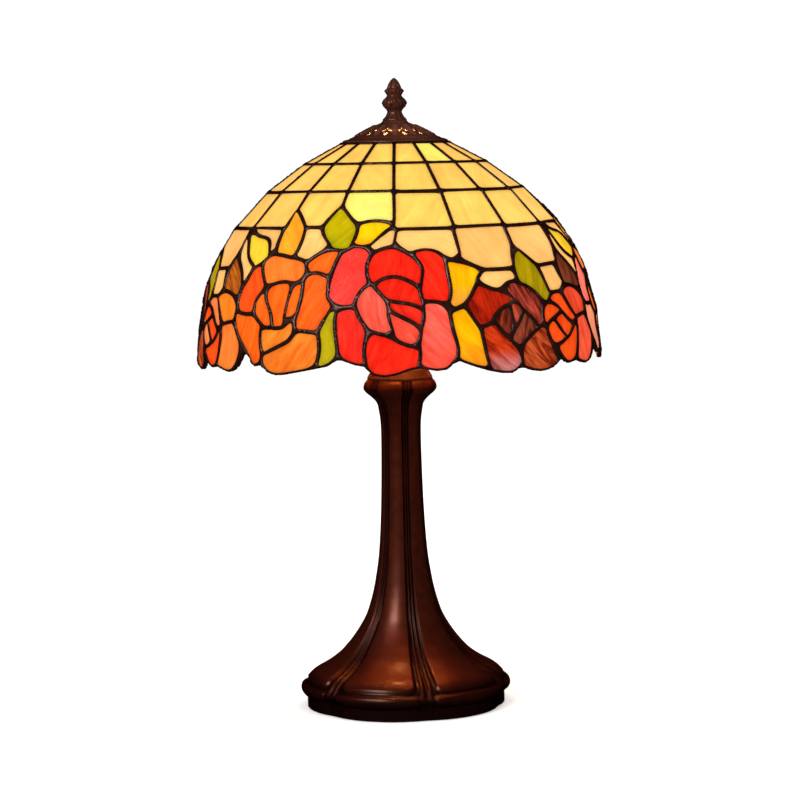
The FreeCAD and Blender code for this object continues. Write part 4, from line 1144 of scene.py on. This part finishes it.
def build_cap(material):
    outline = catmull(CAP_OUTLINE, 0.4)
    form = Form(outline)
    loops = [leaf_loop(form, slit) for slit in CAP_SLITS]
    ring = np.arange(0, CAP_PERIOD, 2.5)
    low = np.stack([ring, np.full(len(ring), form.levels[0])], axis=1)
    high = np.stack([ring, np.full(len(ring), form.levels[-1])], axis=1)
    lines = []
    for loop in loops:
        for k in (-1, 0, 1):
            closed = np.vstack([loop, loop[:1]])
            for a, b in zip(closed, closed[1:]):
                for t in (0, 0.5):
                    lines.append(form.place(*((a + (b - a) * t) + (k * CAP_PERIOD, 0))))
    tree = point_tree(np.array(lines))
    field = free_points(form, form.levels[0] + 0.006, form.levels[-1] - 0.05, CAP_PERIOD, 0.72, tree, 0.4)
    half = CAP_PERIOD / 2
    xy, triangles = tiled(-half, CAP_PERIOD, loops, low - (half, 0), high - (half, 0), field)
    xy_all, faces, _, _ = round_form(xy, triangles, CAP_PERIOD)
    radius = form.radius(xy_all[:, 1])
    first_copy = form.place(near_start(xy_all[:, 0], -half, CAP_PERIOD), xy_all[:, 1])
    gap = np.array([tree.find(p)[2] for p in first_copy])
    relief = cap_relief(xy_all[:, 0], radius) * smooth_step(gap / 0.8)
    relief = relief + 0.1 * lumps(form.at(xy_all), 2.2, 5.0) * (radius > 12)
    outer = form.at(xy_all, relief * 0.8)
    inner = form.at(xy_all, -CAP_WALL)
    count = len(outer)
    everything = faces.tolist() + (faces[:, ::-1] + count).tolist()
    everything += [(b, a, a + count, b + count) for a, b in border_edges(faces)]
    cap = make_object("pierced_cap", np.vstack([outer, inner]), everything, "shade", material)
    # The finish darkens the low parts of this emboss as painted shade.
    add_floats(cap, "relief", np.concatenate([np.clip(0.55 + 0.5 * relief, 0, 1), np.full(count, -1.0)]))
    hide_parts("shade_cap")


FINIAL_OUTLINE = [(8.9, 445.02), (8.8, 446.0), (7.2, 447.6), (6.0, 449.6), (5.5, 451.4), (6.1, 453.0),
                  (8.2, 455.4), (9.2, 458.2), (8.4, 460.4), (6.4, 462.4), (5.6, 463.6), (6.2, 465.0),
                  (7.2, 466.6), (7.1, 467.8), (5.7, 469.0), (5.2, 470.4), (4.2, 472.6), (2.6, 475.0),
                  (0.9, 476.7)]
FINIAL_INSIDE = [(0.05, 476.9), (0.05, 458.6), (3.3, 458.0), (3.3, 445.3)]
FINIAL_COLUMNS = 96


def build_finial(material):
    """Cast finial: a flared skirt, a ball of overlapping leaves, a shoulder and a pointed bud."""
    outline = catmull(FINIAL_OUTLINE, 0.42)
    z = outline[:, 1:]
    r = outline[:, :1]
    a = np.linspace(0, 2 * math.pi, FINIAL_COLUMNS, endpoint=False)
    ball = np.exp(-((z - 457.8) / 3.3) ** 4)
    bud = smooth_step((z - 468.0) / 1.5)
    skirt = smooth_step((451.5 - z) / 2.0)
    lean = (z - 457.8) * 0.16
    petals = np.abs(np.cos(3 * (a + lean))) ** 0.6
    backs = np.abs(np.cos(3 * (a - lean) + math.pi / 2)) ** 0.6
    carved = ball * 1.15 * (np.maximum(petals, backs) - 0.85)
    veins = ball * 0.22 * np.cos(18 * a + z * 1.2)
    buds = bud * (0.85 * (np.abs(np.cos(3 * a)) ** 0.5 - 0.8) + 0.14 * np.cos(24 * a + z * 1.5))
    shoulder = 0.34 * np.exp(-((z - 467.0) / 1.0) ** 2) * np.cos(14 * a)
    flutes = skirt * 0.22 * np.cos(12 * a)
    waist = 0.12 * np.exp(-((z - 452.4) / 0.9) ** 2) * np.cos(16 * a)
    height = (carved + veins + buds + shoulder + flutes + waist) * smooth_step((476.4 - z) / 1.5)
    heights = np.repeat(z, FINIAL_COLUMNS, axis=1)
    piece = lathe_object("carved_finial", r + height, heights, FINIAL_INSIDE, a, "finial", material)
    plain = np.full((len(FINIAL_INSIDE), FINIAL_COLUMNS), 0.4)
    # The finish darkens the low parts of this carving as painted shade.
    add_floats(piece, "relief", np.vstack([np.clip(0.6 + height * 0.9, 0, 1), plain]).ravel())
    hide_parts("finial")


# ---- CAD nodes that stay, with finishes ------------------------------------------------
def finish_nodes():
    """Gives the CAD nodes that stay their materials."""
    steel = ("ballast_steel", (96, 96, 98), (132, 132, 134), 150.0, 0.45, 0.9)
    brass = ("aged_brass", (150, 104, 48), (196, 150, 82), 120.0, 0.3, 0.9)
    rows = [
        (brass, ["harp_saddle", "saddle_nut", "socket_cap", "socket_shell", "screw_shell", "bulb_cap",
                 "harp_ferrule_left", "harp_ferrule_right", "harp_frame", "harp_hub", "aperture_ring"]),
        (("dark_bronze_plate", (62, 26, 16), (104, 48, 30), 80.0, 0.36, 0.6), ["collar_cap"]),
        (("green_black_felt", (20, 24, 20), (40, 46, 40), 900.0, 0.9, 0.0, 0.6), ["felt_pad"]),
        (steel, ["weight_plate", "pipe_washer", "pipe_nut", "lamp_pipe"]),
        (("black_rubber", (18, 16, 15), (34, 31, 29), 300.0, 0.6, 0.0), ["cord_grommet"]),
        (("phenolic_core", (32, 18, 12), (52, 32, 22), 260.0, 0.5, 0.0), ["socket_core"]),
        (("insulating_card", (168, 140, 104), (196, 168, 130), 500.0, 0.85, 0.0, 0.4), ["socket_sleeve"]),
        (("moulded_key", (24, 18, 15), (46, 36, 30), 320.0, 0.35, 0.0), ["switch_key"]),
        (("lamp_stem", (210, 210, 205), (235, 235, 230), 200.0, 0.2, 0.0), ["bulb_stem"]),
    ]
    finishes = {"bulb_glass": bulb_material()}
    for finish, nodes in rows:
        material = plain_material(*finish)
        finishes.update({node: material for node in nodes})
    for node, material in finishes.items():
        NODES[node].material_slots[0].link = "OBJECT"
        NODES[node].material_slots[0].material = material


# ---- stage -----------------------------------------------------------------------------
def area_light(name, position, target, size, energy, mirrored):
    """A soft light; mirrored lights also show as highlights."""
    data = bpy.data.lights.new(name, "AREA")
    data.shape = "RECTANGLE"
    data.size, data.size_y = size
    data.energy = energy
    lamp = bpy.data.objects.new(name, data)
    lamp.location = position
    lamp.rotation_mode = "QUATERNION"
    lamp.rotation_quaternion = (Vector(target) - Vector(position)).to_track_quat("-Z", "Y")
    bpy.context.scene.collection.objects.link(lamp)
    lamp.visible_camera = False
    lamp.visible_glossy = mirrored


def build_stage():
    world = bpy.data.worlds.new("studio")
    bpy.context.scene.world = world
    world.use_nodes = True
    background = world.node_tree.nodes["Background"]
    background.inputs["Color"].default_value = grey(1.0)
    background.inputs["Strength"].default_value = WORLD_STRENGTH
    world.cycles_visibility.glossy = False
    mesh = bpy.data.meshes.new("floor")
    corners = [(-1, -1), (1, -1), (1, 1), (-1, 1)]
    mesh.from_pydata([(x * FLOOR_HALF_SIZE, y * FLOOR_HALF_SIZE, 0) for x, y in corners], [], [(0, 1, 2, 3)])
    floor = bpy.data.objects.new("floor", mesh)
    bpy.context.scene.collection.objects.link(floor)
    s = Shader("pale_floor")
    s.set(Base_Color=grey(0.97), Roughness=0.9, Specular_IOR_Level=0.0)
    floor.data.materials.append(s.material)
    floor.visible_glossy = False
    area_light("key", (-1.3, -1.7, 1.5), (0, 0, 0.2), (0.9, 0.9), 30, True)
    area_light("strip", (-0.8, -1.45, 1.0), (0, 0, 0.1), (0.3, 0.8), 8, True)
    area_light("fill", (1.6, -1.2, 0.9), (0, 0, 0.2), (0.7, 1.1), 12, False)
    area_light("rim", (0.9, 1.5, 1.3), (0, 0, 0.3), (0.8, 0.8), 16, False)


def build_camera():
    data = bpy.data.cameras.new("camera")
    data.sensor_width = CAMERA_SENSOR
    data.lens = CAMERA_LENS
    data.shift_x = CAMERA_SHIFT
    camera = bpy.data.objects.new("camera", data)
    bpy.context.scene.collection.objects.link(camera)
    pitch = math.radians(CAMERA_PITCH)
    roll = math.radians(CAMERA_ROLL)
    forward = Vector((0, math.cos(pitch), -math.sin(pitch)))
    right = Vector((1, 0, 0))
    up = right.cross(forward)
    tilted_right = right * math.cos(roll) - up * math.sin(roll)
    tilted_up = up * math.cos(roll) + right * math.sin(roll)
    basis = Matrix((tilted_right, tilted_up, -forward)).transposed()
    camera.matrix_world = Matrix.Translation((0, -CAMERA_DISTANCE, CAMERA_HEIGHT)) @ basis.to_4x4()
    bpy.context.scene.camera = camera


build_camera()
build_stage()
build_base(bronze_material("bronze_lacquer", 0.75, (42, 12, 7), (55, 17, 9), (70, 24, 13), (112, 48, 28)))
build_cap(bronze_material("embossed_bronze", 0.3, (62, 31, 21), (82, 44, 31), (106, 62, 46), (160, 112, 88)))
build_finial(bronze_material("finial_bronze", 0.3, (50, 24, 17), (70, 37, 28), (92, 52, 40), (150, 104, 84)))
build_shade()
finish_nodes()
bpy.context.scene.view_settings.view_transform = "Standard"
